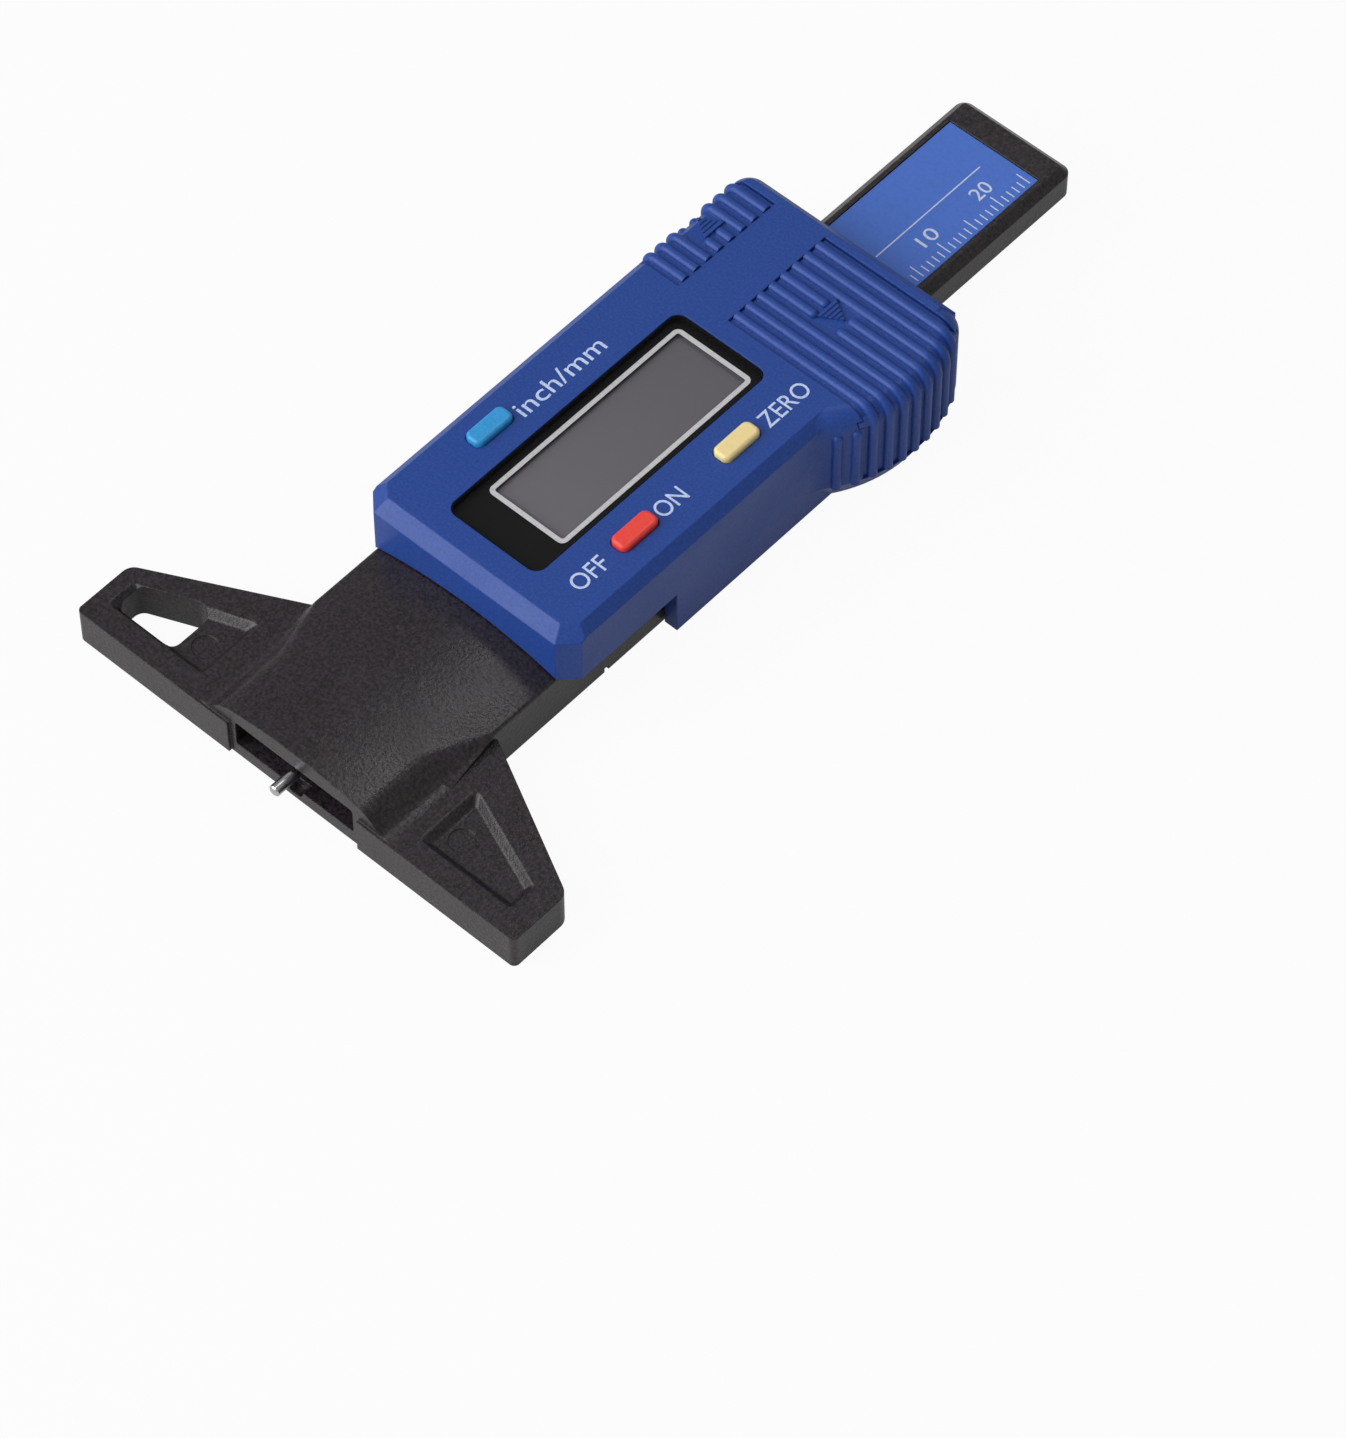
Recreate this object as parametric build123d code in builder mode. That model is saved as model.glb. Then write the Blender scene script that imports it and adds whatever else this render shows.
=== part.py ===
from build123d import *

import math
import os

# Digital tread depth gauge lying on its back, in millimetres.
# The origin is on the underside, at the middle of the measuring plane. +Y runs from the
# measuring feet to the tail of the beam, +X to the thumb bulge, +Z out of the display face.

os.makedirs("parts", exist_ok=True)

# Fits
slide_gap = 0.25         # between mouldings that slide on each other
hold_gap = 0.1           # round a piece that is trapped in its seat
screw_gap = 0.05         # round a screw in its hole
over = 1.0               # how far a cutter runs past the face that it opens
bite = 0.2               # how far a rib or post runs into the wall that carries it

# Travel of the slider along the beam
full_depth = 25.4
pin_reach = 2.9
depth_travel = full_depth - pin_reach

# Measuring feet
foot_half_width = 35.0
foot_tip_depth = 8.8
foot_root_y = 19.4
wing_height = 5.3
face_relief = 0.45
relief_half_width = 10.3
foot_front_radius = 0.8
foot_back_radius = 1.8

# Pockets, hanging slot and moulding marks in the tops of the feet
pocket_depth = 1.0
pocket_draft = 42.0
pocket_radius = 0.7
pocket_edge = 0.5
pocket_inner_x = 17.5
pocket_front_y = 3.2
right_pocket_tip_wall = 3.4
right_pocket_outer_margin = 3.4
right_pocket_inner_margin = 5.1
left_pocket_tip_wall = 2.1
left_pocket_outer_margin = 2.5
left_pocket_inner_margin = 4.8
slot_inner_x = 23.1
slot_tip_wall = 2.7
slot_front_y = 3.7
slot_outer_margin = 2.7
slot_inner_margin = 3.5
slot_radius = 1.5
mark_radius = 1.65
mark_depth = 0.15
mark_x = 20.6
mark_y = 6.8

# Neck between the feet and the beam
neck_half_width = 14.4
neck_crown = 8.7
neck_shoulder = 6.8
neck_edge_break = 0.35
neck_end_y = 49.5
ramp_width = 5.0
ramp_foot = 0.9
ramp_pull = 0.55
ramp_end_y = 10.5
ramp_fade = 8.4
edge_notch_y = 38.0
edge_notch_size = 0.7

# Hollow of the neck, its front opening and the channel under it
hollow_half_width = 9.4
hollow_floor = 1.9
hollow_roof = 6.1
hollow_radius = 0.5
lip_notch_radius = 1.3
lip_notch_depth = 1.4
channel_depth = 1.15
channel_half_width = 11.9
strip_passage_half_width = 5.6

# Beam, measuring scale and label
beam_half_width = 8.9
beam_floor = 3.2
beam_top = 7.8
beam_end_y = 129.3
beam_bevel = 1.1
tail_radius = 1.5
scale_half_width = 7.2
scale_margin = 4.6
scale_recess = 0.75
scale_thickness = 0.5
label_thickness = 0.12

# Probe, its carriage and the strip that drives it
pin_radius = 0.775
pin_height = 4.6
pin_chamfer = 0.15
carriage_front_y = 24.0
carriage_length = 9.0
carriage_edge = 0.4
pin_grip = 6.5
strip_thickness = 0.6
strip_half_width = 5.0
strip_front_inset = 0.5
strip_rear_inset = 3.2
rivet_x = 3.6
rivet_radius = 0.7
rivet_head_radius = 1.3
rivet_head_height = 0.6

# Slider body
side_gap = 0.8
slider_front_y = 29.3
slider_rear_y = 97.6
slider_top = 15.4
wall = 1.4
overhang_floor = 6.95
step_y = 47.9
arch_gap = 0.3
corner_chamfer = 2.2
front_chamfer = 1.75
side_chamfer = 1.3
rear_corner_radius = 2.3
bulge_reach = 21.3
bulge_y = 85.8
bulge_radius = 20.0
bulge_sweep_radius = 4.0
bulge_rear_radius = 3.2
bulge_under_height = 3.2
bulge_under_slope = 26.0
bulge_shoulder = 2.6
bulge_root_x = 5.0
neck_guide_length = 2.0

# Grip covers and their ribs
grip_front_y = 77.7
grip_length = 17.5
battery_cover_x = -2.1
battery_cover_floor = 3.2
port_cover_x = -10.06
port_cover_floor = 8.5
port_shoulder = 1.6
cover_sink = 0.35
cover_gap = 0.12
rail_root = 1.3
rail_reach = 0.7
rail_height = 0.8
rib_count = 8
rib_radius = 0.7
rib_crest = 0.32
rib_inset_y = 1.4
side_rib_margin = 0.8
side_rib_crest = 0.5
side_rib_count = 2
side_rib_top = 12.2
arrow_base = 3.5
arrow_length = 2.9
arrow_height = 0.4
arrow_gap = 0.9
arrow_y = 87.1
battery_arrow_x = 5.3
port_arrow_x = -12.7
arrow_groove = 0.25
arrow_groove_count = 4

# Display
display_x = -0.3
window_y = 54.6
window_width = 14.4
window_length = 40.2
window_radius = 1.5
window_thickness = 0.95
window_recess = 1.0
lcd_y = 56.8
lcd_width = 14.0
lcd_length = 35.6
lcd_glass = 1.1
view_width = 11.8
view_length = 33.0
holder_wall = 1.2
holder_ledge = 2.4
zebra_width = 1.4
zebra_inset = 1.1
zebra_end_gap = 1.5

# Buttons and their switches
button_width = 2.6
button_length = 6.3
button_radius = 0.9
button_proud = 0.85
button_edge = 0.5
button_gap = 0.12
button_travel = 0.5
flange_margin = 0.6
flange_thickness = 0.6
nub_radius = 0.8
left_button_x = -11.95
right_button_x = 11.15
front_button_y = 46.6
zero_button_y = 64.4
switch_width = 3.4
switch_length = 4.4
switch_height = 1.7
plunger_radius = 0.9
plunger_height = 0.6
press_gap = 0.1

# Boards and the parts on them
board_floor = 9.1
board_thickness = 0.8
board_edge_gap = 0.3
sensor_thickness = 1.0
sensor_left_x = -8.2
sensor_cell_gap = 0.5
sensor_front_y = 74.6
sensor_length = 20.0
board_post_radius = 1.5
board_post_margin = 2.3
front_post_y = 34.4
left_post_y = 60.0
right_post_y = 55.5
board_screw_radius = 0.6
board_screw_head_radius = 1.3
board_screw_head_height = 0.6
board_screw_length = 4.4
chip_side = 6.0
chip_height = 1.1
chip_chamfer = 0.3
chip_x = -3.5
chip_y = 82.5
crystal_width = 2.0
crystal_length = 6.0
crystal_height = 1.8
crystal_x = -9.2
crystal_y = 82.0
capacitor_width = 0.9
capacitor_length = 1.7
capacitor_height = 0.8
capacitor_count = 4
capacitor_pitch = 2.4
capacitor_x = -3.0
capacitor_y = 91.0
port_pad_count = 4
port_pad_width = 1.3
port_pad_length = 2.4
port_pad_pitch = 2.2
port_pad_thickness = 0.15
port_pad_wall_gap = 1.1

# Coin cell, its contacts and its seat
cell_radius = 5.8
cell_height = 5.4
cell_edge = 0.4
cell_cap_radius = 4.6
cell_cap_height = 0.5
cell_wall_gap = 0.4
cell_floor = 8.4
cell_cut_gap = 0.5
contact_thickness = 0.25
contact_width = 2.4
contact_disc_radius = 4.0
contact_tab_gap = 0.6
clip_width = 4.0
clip_height = 3.6
clip_foot = 2.3
seat_wall = 1.2

# Rear cover, its guides and its fixings
cover_floor = 2.0
tongue_floor = 0.05
tongue_thickness = 0.95
tongue_side_gap = 0.3
guide_thickness = 1.15
guide_top = 7.6
guide_front_inset = 4.5
spring_space = 1.2
runner_inner_x = 6.2
runner_gap = 0.12
housing_post_radius = 1.55
housing_post_x = 12.4
housing_screw_radius = 0.8
housing_screw_head_radius = 1.4
housing_screw_head_height = 0.9
housing_screw_length = 8.0
carrier_screw_length = 2.75
carrier_screw_y = 79.0
carrier_screw_spacing = 10.0
head_sink = 0.15
hook_width = 3.2
hook_length = 0.7
hook_height = 0.8
hook_floor = 0.9
hook_x = 12.5
spring_thickness = 0.25
spring_height = 5.0
spring_half_length = 6.5

# Worked out from the sizes above
grip_middle_y = grip_front_y + grip_length / 2
right_pocket_outer_x = foot_half_width - right_pocket_tip_wall
left_pocket_outer_x = foot_half_width - left_pocket_tip_wall
slot_outer_x = foot_half_width - slot_tip_wall
slider_half_width = neck_half_width + side_gap + wall
board_half_width = slider_half_width - wall - board_edge_gap
board_post_x = board_half_width - board_post_margin
port_pad_x = wall + port_pad_wall_gap + port_pad_length / 2 - slider_half_width
cell_x = bulge_reach - wall - cell_wall_gap - cell_radius
cell_y = grip_middle_y
sensor_right_x = cell_x - cell_radius - sensor_cell_gap
roof_z = slider_top - wall
board_top = board_floor + board_thickness
slider_inner_rear_y = slider_rear_y - wall
slider_length = slider_rear_y - slider_front_y
hollow_end_y = carriage_front_y + carriage_length + pin_reach + 2 * slide_gap
channel_front_y = step_y - depth_travel - 2 * slide_gap
floor_front_y = neck_end_y + depth_travel + 2 * slide_gap
housing_post_y = floor_front_y + housing_post_radius + slide_gap
strip_top = cover_floor + strip_thickness
strip_front_y = carriage_front_y + strip_front_inset
strip_length = slider_inner_rear_y - strip_rear_inset - strip_front_y
carriage_floor = hollow_floor + hold_gap
carriage_top = hollow_roof - slide_gap
carriage_middle_y = carriage_front_y + carriage_length / 2
scale_floor = beam_top - scale_recess
scale_end_y = beam_end_y - scale_margin
scale_length = scale_end_y - neck_end_y - slide_gap
left_guide_x = -beam_half_width - spring_space
right_guide_x = beam_half_width + slide_gap / 2
guide_front_y = floor_front_y + guide_front_inset
guide_length = slider_inner_rear_y - guide_front_y - hold_gap
guide_middle_y = guide_front_y + guide_length / 2
runner_width = beam_half_width - runner_inner_x
runner_x = (beam_half_width + runner_inner_x) / 2
runner_top = beam_floor - runner_gap
lcd_top = roof_z - press_gap
lcd_shelf = lcd_top - lcd_glass
zebra_x = lcd_width / 2 - zebra_inset
zebra_length = lcd_length - 2 * zebra_end_gap
nub_floor = board_top + switch_height + plunger_height + button_travel + press_gap
rib_pitch = (grip_length - 2 * rib_inset_y) / (rib_count - 1)
rib_sink = rib_radius - rib_crest
rib_z = slider_top - rib_sink
rail_top = roof_z - cover_gap
board_screw_places = [
    (-board_post_x, front_post_y),
    (board_post_x, front_post_y),
    (-board_post_x, left_post_y),
    (board_post_x, right_post_y),
]
housing_screw_places = [(-housing_post_x, housing_post_y), (housing_post_x, housing_post_y)]
carrier_screw_places = [(0, carrier_screw_y), (0, carrier_screw_y + carrier_screw_spacing)]
rivet_places = [(-rivet_x, carriage_middle_y), (rivet_x, carriage_middle_y)]
button_places = [
    (left_button_x, front_button_y),
    (right_button_x, zero_button_y),
    (right_button_x, front_button_y),
]
upright = (Align.CENTER, Align.CENTER, Align.MIN)
rearward = (Align.CENTER, Align.MIN, Align.MIN)
rightward = (Align.MIN, Align.CENTER, Align.MIN)
leftward = (Align.MAX, Align.CENTER, Align.MIN)


def arch_height(x):
    """Height of the neck's arched top at a distance x from its middle."""
    rise = neck_crown - neck_shoulder
    radius = (neck_half_width**2 + rise**2) / (2 * rise)
    return neck_crown - radius + math.sqrt(radius**2 - x**2)


def foot_back_edge(x):
    """The y of a foot's back edge at a distance x from the middle."""
    slope = (foot_root_y - foot_tip_depth) / (foot_half_width - neck_half_width)
    return foot_tip_depth + (foot_half_width - x) * slope


def bulge_side(y):
    """The x of the thumb bulge's side at a given y."""
    return bulge_reach - bulge_radius + math.sqrt(bulge_radius**2 - (y - bulge_y) ** 2)


def neck_section(y, edge_x, edge_z, arch_x, foot_pull_x, foot_pull_z):
    """Section of the neck at y: floor, upright sides, a soft slope and the arched top.

    The slope leaves the arch along its tangent and meets the edge along the foot's pull.
    """
    arch_z = arch_height(arch_x)
    tangent = (arch_height(arch_x + screw_gap) - arch_z) / screw_gap
    arch_pull_x = arch_x + (edge_x - arch_x) * ramp_pull
    arch_pull_z = arch_z + (arch_pull_x - arch_x) * tangent
    pull_x = edge_x - foot_pull_x
    pull_z = edge_z + foot_pull_z
    with BuildSketch(Plane.XZ.offset(-y)) as section:
        with BuildLine():
            Polyline((-edge_x, edge_z), (-edge_x, 0), (edge_x, 0), (edge_x, edge_z))
            for side in (-1, 1):
                Bezier(
                    (side * edge_x, edge_z),
                    (side * pull_x, pull_z),
                    (side * arch_pull_x, arch_pull_z),
                    (side * arch_x, arch_z),
                )
            ThreePointArc((arch_x, arch_z), (0, neck_crown), (-arch_x, arch_z))
        make_face()
    return section.sketch.face()


def pocket_cutter(side, outer_x, outer_margin, inner_margin):
    """Cutter for the sloping-sided pocket in the top of one foot."""
    with BuildPart() as cutter:
        with BuildSketch(Plane.XY.offset(wing_height)):
            with BuildLine():
                Polyline(
                    (side * pocket_inner_x, pocket_front_y),
                    (side * outer_x, pocket_front_y),
                    (side * outer_x, foot_back_edge(outer_x) - outer_margin),
                    (side * pocket_inner_x, foot_back_edge(pocket_inner_x) - inner_margin),
                    close=True,
                )
            make_face()
        extrude(amount=-pocket_depth, taper=pocket_draft)
        fillet(cutter.edges().group_by(Axis.Z)[1], pocket_radius)
        fillet(cutter.faces().sort_by(Axis.Z)[0].edges(), pocket_edge)
    return cutter.part


def beam_body():
    """The beam with a bevelled rim and rounded tail corners."""
    with BuildPart() as beam:
        with Locations((0, hollow_end_y, beam_floor)):
            Box(2 * beam_half_width, beam_end_y - hollow_end_y, beam_top - beam_floor, align=rearward)
        fillet(beam.edges().filter_by(Axis.Z).group_by(Axis.Y)[-1], tail_radius)
        rim = beam.faces().sort_by(Axis.Z)[-1].edges()
        chamfer(rim.filter_by(lambda edge: edge.center().Y > hollow_end_y + over), beam_bevel)
    return beam.part


def straight_block(inset):
    """The straight-sided part of the slider's outer shape, drawn in by an inset."""
    corner_cut = inset * (2 - math.sqrt(2))
    width = 2 * (slider_half_width - inset)
    front_y = slider_front_y + inset
    front_line = front_y + corner_chamfer
    with BuildPart() as block:
        with Locations((0, front_y, 0)):
            Box(width, slider_length - 2 * inset, slider_top - inset, align=rearward)
        uprights = block.edges().filter_by(Axis.Z).group_by(Axis.Y)
        chamfer(uprights[0], corner_chamfer - corner_cut)
        rear_uprights = block.edges().filter_by(Axis.Z).group_by(Axis.Y)[-1]
        fillet(rear_uprights.sort_by(Axis.X)[0], rear_corner_radius - inset)
        rim = block.faces().sort_by(Axis.Z)[-1].edges()
        chamfer(rim.filter_by(lambda edge: edge.center().Y < front_line), front_chamfer - corner_cut)
        rim = block.faces().sort_by(Axis.Z)[-1].edges()
        side_line = front_line + front_chamfer
        chamfer(rim.filter_by(lambda edge: edge.center().Y > side_line), side_chamfer - corner_cut)
    return block.part


def bulge_block(inset):
    """The thumb bulge of the slider's outer shape, drawn in by an inset."""
    arc_x = bulge_reach - bulge_radius
    arc_radius = bulge_radius - inset
    side_x = slider_half_width - inset
    rear_y = slider_rear_y - inset
    start_y = bulge_y - math.sqrt(arc_radius**2 - (side_x - arc_x) ** 2)
    root_y = start_y - 2 * bulge_sweep_radius
    rear_x = arc_x + math.sqrt(arc_radius**2 - (rear_y - bulge_y) ** 2)
    with BuildPart() as bulge:
        with BuildSketch(Plane.XY.offset(bulge_under_height)) as plan:
            with BuildLine():
                Polyline(
                    (side_x, start_y),
                    (side_x, root_y),
                    (-bulge_root_x, root_y),
                    (-bulge_root_x, rear_y),
                    (rear_x, rear_y),
                )
                ThreePointArc((rear_x, rear_y), (bulge_reach - inset, bulge_y), (side_x, start_y))
            make_face()
            fillet(plan.vertices().sort_by_distance((rear_x, rear_y))[0], bulge_rear_radius - inset)
            fillet(plan.vertices().sort_by_distance((side_x, start_y))[0], bulge_sweep_radius + inset)
        extrude(amount=slider_top - inset - bulge_under_height)
        extrude(plan.sketch, amount=-bulge_under_height, taper=bulge_under_slope)
        rim = bulge.faces().sort_by(Axis.Z)[-1].edges()
        rim = rim.filter_by(lambda edge: edge.center().X > over - bulge_root_x)
        rim = rim.filter_by(lambda edge: edge.center().Y > root_y + over)
        fillet(rim, bulge_shoulder - inset)
    return bulge.part


def slider_block(inset):
    """Outer shape of the slider, drawn in by an inset on its sides and its top."""
    return straight_block(inset) + bulge_block(inset)


def wrapping_rib(side, y, start_x, side_x, shoulder):
    """A half-round rib that runs outward along the top and then down the slider's side."""
    flank_x = side_x - side * rib_sink
    bend = shoulder - rib_sink
    bend_x = flank_x - side * bend
    bend_z = rib_z - bend
    middle_x = bend_x + side * bend * math.sin(math.pi / 4)
    middle_z = bend_z + bend * math.cos(math.pi / 4)
    with BuildPart() as rib:
        with BuildLine() as path:
            Line((start_x, y, rib_z), (bend_x, y, rib_z))
            ThreePointArc((bend_x, y, rib_z), (middle_x, y, middle_z), (flank_x, y, bend_z))
            Line((flank_x, y, bend_z), (flank_x, y, 0))
        with BuildSketch(Plane(origin=(start_x, y, rib_z), z_dir=(side, 0, 0))):
            Circle(rib_radius)
        sweep(path=path.wire())
        with Locations((start_x, y, rib_z)):
            Sphere(rib_radius)
    return rib.part


def top_rib(y, start_x, end_x):
    """A half-round rib along the top with both ends rounded."""
    with BuildPart() as rib:
        with Locations(((start_x + end_x) / 2, y, rib_z)):
            Cylinder(rib_radius, abs(end_x - start_x), rotation=(0, 90, 0))
        with Locations((start_x, y, rib_z), (end_x, y, rib_z)):
            Sphere(rib_radius)
    return rib.part


def side_rib(side, y, side_x, crest, floor_z, top_z):
    """A half-round rib upright on the slider's side, rounded at its top."""
    middle_x = side_x + side * (crest - rib_radius)
    with BuildPart() as rib:
        with Locations((middle_x, y, floor_z)):
            Cylinder(rib_radius, top_z - floor_z, align=upright)
        with Locations((middle_x, y, top_z)):
            Sphere(rib_radius)
    return rib.part


def cover_arrow(side, x):
    """Raised arrow that points outward, with grooves across it."""
    arrow_floor = slider_top - cover_sink
    groove_pitch = arrow_length / (arrow_groove_count + 1)
    with BuildPart() as arrow:
        with BuildSketch(Plane.XY.offset(arrow_floor - bite)):
            with BuildLine():
                Polyline(
                    (x, arrow_y - arrow_base / 2),
                    (x + side * arrow_length, arrow_y),
                    (x, arrow_y + arrow_base / 2),
                    close=True,
                )
            make_face()
        extrude(amount=arrow_height + bite)
        for index in range(arrow_groove_count):
            groove_x = x + side * groove_pitch * (index + 1)
            with Locations((groove_x, arrow_y, arrow_floor + arrow_height)):
                Box(arrow_groove, arrow_base, arrow_groove, mode=Mode.SUBTRACT)
    return arrow.part


def cover_rails(inner_x, length, align):
    """Two rails under a cover's ends, with lips that run below the slider's roof."""
    with BuildPart() as rails:
        for end in (-1, 1):
            edge_y = grip_middle_y + end * (grip_length / 2 - cover_gap)
            root_y = edge_y - end * rail_root / 2
            lip_y = edge_y + end * (rail_reach - rail_root) / 2
            with Locations((inner_x, root_y, rail_top - rail_height)):
                Box(length, rail_root, roof_z + bite - rail_top + rail_height, align=align)
            with Locations((inner_x, lip_y, rail_top - rail_height)):
                Box(length, rail_root + rail_reach, rail_height, align=align)
    return rails.part


def screw(shaft_radius, head_radius, head_height, length):
    """A screw standing on its head, its shaft along +Z."""
    with BuildPart() as body:
        Cylinder(head_radius, head_height, align=upright)
        chamfer(body.edges().sort_by(Axis.Z)[0], head_height / 4)
        Cylinder(shaft_radius, length, align=upright)
        chamfer(body.edges().sort_by(Axis.Z)[-1], shaft_radius / 3)
    return body.part


def push_button(x, y):
    """A button with its flange under the roof and the nub that meets the switch."""
    flange_top = roof_z - press_gap
    flange_floor = flange_top - flange_thickness
    with BuildPart() as button:
        with BuildSketch(Plane.XY.offset(flange_floor)):
            with Locations((x, y)):
                RectangleRounded(button_width, button_length, button_radius)
        extrude(amount=slider_top + button_proud - flange_floor)
        fillet(button.faces().sort_by(Axis.Z)[-1].edges(), button_edge)
        with Locations((x, y, flange_floor)):
            Box(
                button_width + 2 * flange_margin,
                button_length + 2 * flange_margin,
                flange_thickness,
                align=upright,
            )
        with Locations((x, y, nub_floor)):
            Cylinder(nub_radius, flange_floor - nub_floor, align=upright)
    return button.part


# Tee frame: the measuring feet, the hollow neck and the beam in one moulding
right_pocket = pocket_cutter(
    1, right_pocket_outer_x, right_pocket_outer_margin, right_pocket_inner_margin
)
left_pocket = pocket_cutter(
    -1, left_pocket_outer_x, left_pocket_outer_margin, left_pocket_inner_margin
)
arch_edge_x = neck_half_width - neck_edge_break
arch_edge_z = neck_shoulder - neck_edge_break
upright_y = ramp_end_y + ramp_fade
ramp_foot_x = neck_half_width + ramp_foot
ramp_top_x = ramp_foot_x - ramp_width
ramp_span = ramp_width * ramp_pull
ramp_start = neck_section(face_relief, ramp_foot_x, wing_height, ramp_top_x, ramp_span, 0)
ramp_end = neck_section(ramp_end_y, ramp_foot_x, wing_height, ramp_top_x, ramp_span, 0)
upright_start = neck_section(
    upright_y, neck_half_width, arch_edge_z, arch_edge_x, 0, neck_edge_break / 2
)
beam = beam_body()
with BuildPart() as tee_frame:
    with BuildSketch():
        with BuildLine():
            Polyline(
                (0, face_relief),
                (relief_half_width, face_relief),
                (relief_half_width, 0),
                (foot_half_width, 0),
                (foot_half_width, foot_tip_depth),
                (neck_half_width, foot_root_y),
                (0, foot_root_y),
                close=True,
            )
        make_face()
        mirror(about=Plane.YZ)
    extrude(amount=wing_height)
    for row, radius in ((0, foot_front_radius), (-1, foot_back_radius)):
        tips = tee_frame.edges().filter_by(Axis.Z)
        tips = tips.filter_by(lambda edge: abs(edge.center().X) > foot_half_width - bite)
        fillet(tips.group_by(Axis.Y)[row], radius)

    # The neck's ramped front, its change of section and its upright rear
    extrude(ramp_start, amount=ramp_end_y - face_relief, dir=(0, 1, 0))
    loft([ramp_end, upright_start], ruled=True)
    extrude(upright_start, amount=neck_end_y - upright_y, dir=(0, 1, 0))
    add(beam)

    # The hollow with its front opening, the channel and the strip's passage
    with BuildSketch(Plane.XZ.offset(over - face_relief)):
        with Locations((0, (hollow_floor + hollow_roof) / 2)):
            RectangleRounded(2 * hollow_half_width, hollow_roof - hollow_floor, hollow_radius)
    extrude(amount=face_relief - over - hollow_end_y, mode=Mode.SUBTRACT)
    with BuildSketch(Plane.XZ.offset(over - face_relief)):
        with Locations((0, hollow_floor)):
            Circle(lip_notch_radius)
    extrude(amount=-over - lip_notch_depth, mode=Mode.SUBTRACT)
    with Locations((0, channel_front_y, -over)):
        Box(
            2 * channel_half_width,
            neck_end_y - channel_front_y + over,
            channel_depth + over,
            align=rearward,
            mode=Mode.SUBTRACT,
        )
    with Locations((0, hollow_end_y - over, hollow_floor)):
        Box(
            2 * strip_passage_half_width,
            neck_end_y - hollow_end_y + 2 * over,
            beam_floor - hollow_floor,
            align=rearward,
            mode=Mode.SUBTRACT,
        )
    with Locations((neck_half_width, edge_notch_y, 0), (-neck_half_width, edge_notch_y, 0)):
        Box(edge_notch_size, edge_notch_size, 2 * edge_notch_size, mode=Mode.SUBTRACT)

    # The recess of the measuring scale
    with Locations((0, neck_end_y, scale_floor)):
        Box(
            2 * scale_half_width,
            scale_end_y - neck_end_y,
            scale_recess + over,
            align=rearward,
            mode=Mode.SUBTRACT,
        )

    # Pockets, hanging slot and moulding marks
    for pocket in (right_pocket, left_pocket):
        add(pocket, mode=Mode.SUBTRACT)
        fillet(tee_frame.edges(Select.LAST).group_by(Axis.Z)[-1], pocket_edge)
    with BuildSketch() as slot:
        with BuildLine():
            Polyline(
                (-slot_inner_x, slot_front_y),
                (-slot_outer_x, slot_front_y),
                (-slot_outer_x, foot_back_edge(slot_outer_x) - slot_outer_margin),
                (-slot_inner_x, foot_back_edge(slot_inner_x) - slot_inner_margin),
                close=True,
            )
        make_face()
        fillet(slot.vertices(), slot_radius)
    extrude(amount=wing_height, mode=Mode.SUBTRACT)
    mark_z = wing_height - pocket_depth - mark_depth
    with Locations((mark_x, mark_y, mark_z), (-mark_x, mark_y, mark_z)):
        Cylinder(mark_radius, mark_depth + bite, align=upright, mode=Mode.SUBTRACT)
tee_frame.part.label = "tee_frame"
export_step(tee_frame.part, "parts/tee_frame.step")

# Measuring scale in the recess of the beam
with BuildPart() as scale_strip:
    with Locations((0, neck_end_y + slide_gap, scale_floor)):
        Box(2 * (scale_half_width - hold_gap), scale_length - hold_gap, scale_thickness, align=rearward)
scale_strip.part.label = "scale_strip"
export_step(scale_strip.part, "parts/scale_strip.step")

# Label on the measuring scale
with BuildPart() as scale_label:
    with Locations((0, neck_end_y + slide_gap, scale_floor + scale_thickness)):
        Box(2 * (scale_half_width - hold_gap), scale_length - hold_gap, label_thickness, align=rearward)
scale_label.part.label = "scale_label"
export_step(scale_label.part, "parts/scale_label.step")

# Probe pin
with BuildPart() as probe_pin:
    with BuildSketch(Plane.XZ.offset(pin_reach)):
        with Locations((0, pin_height)):
            Circle(pin_radius)
    extrude(amount=-pin_reach - carriage_front_y - pin_grip)
    chamfer(probe_pin.edges().sort_by(Axis.Y)[0], pin_chamfer)
probe_pin.part.label = "probe_pin"
export_step(probe_pin.part, "parts/probe_pin.step")

# Carriage that holds the pin and runs in the neck
with BuildPart() as probe_carriage:
    with Locations((0, carriage_front_y, carriage_floor)):
        Box(
            2 * (hollow_half_width - slide_gap),
            carriage_length,
            carriage_top - carriage_floor,
            align=rearward,
        )
    fillet(probe_carriage.edges().filter_by(Axis.Y), carriage_edge)
    with BuildSketch(Plane.XZ.offset(over - carriage_front_y)):
        with Locations((0, pin_height)):
            Circle(pin_radius + screw_gap)
    extrude(amount=-over - pin_grip, mode=Mode.SUBTRACT)
    with Locations((0, strip_front_y - hold_gap, carriage_floor - over)):
        Box(
            2 * (strip_half_width + hold_gap),
            carriage_length,
            strip_top - carriage_floor + over,
            align=rearward,
            mode=Mode.SUBTRACT,
        )
    with Locations(*[(x, y, carriage_floor) for x, y in rivet_places]):
        Cylinder(rivet_radius + screw_gap, carriage_top, align=upright, mode=Mode.SUBTRACT)
    with Locations(*[(x, y, carriage_top - rivet_head_height) for x, y in rivet_places]):
        Cylinder(rivet_head_radius + screw_gap, over, align=upright, mode=Mode.SUBTRACT)
probe_carriage.part.label = "probe_carriage"
export_step(probe_carriage.part, "parts/probe_carriage.step")

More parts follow.
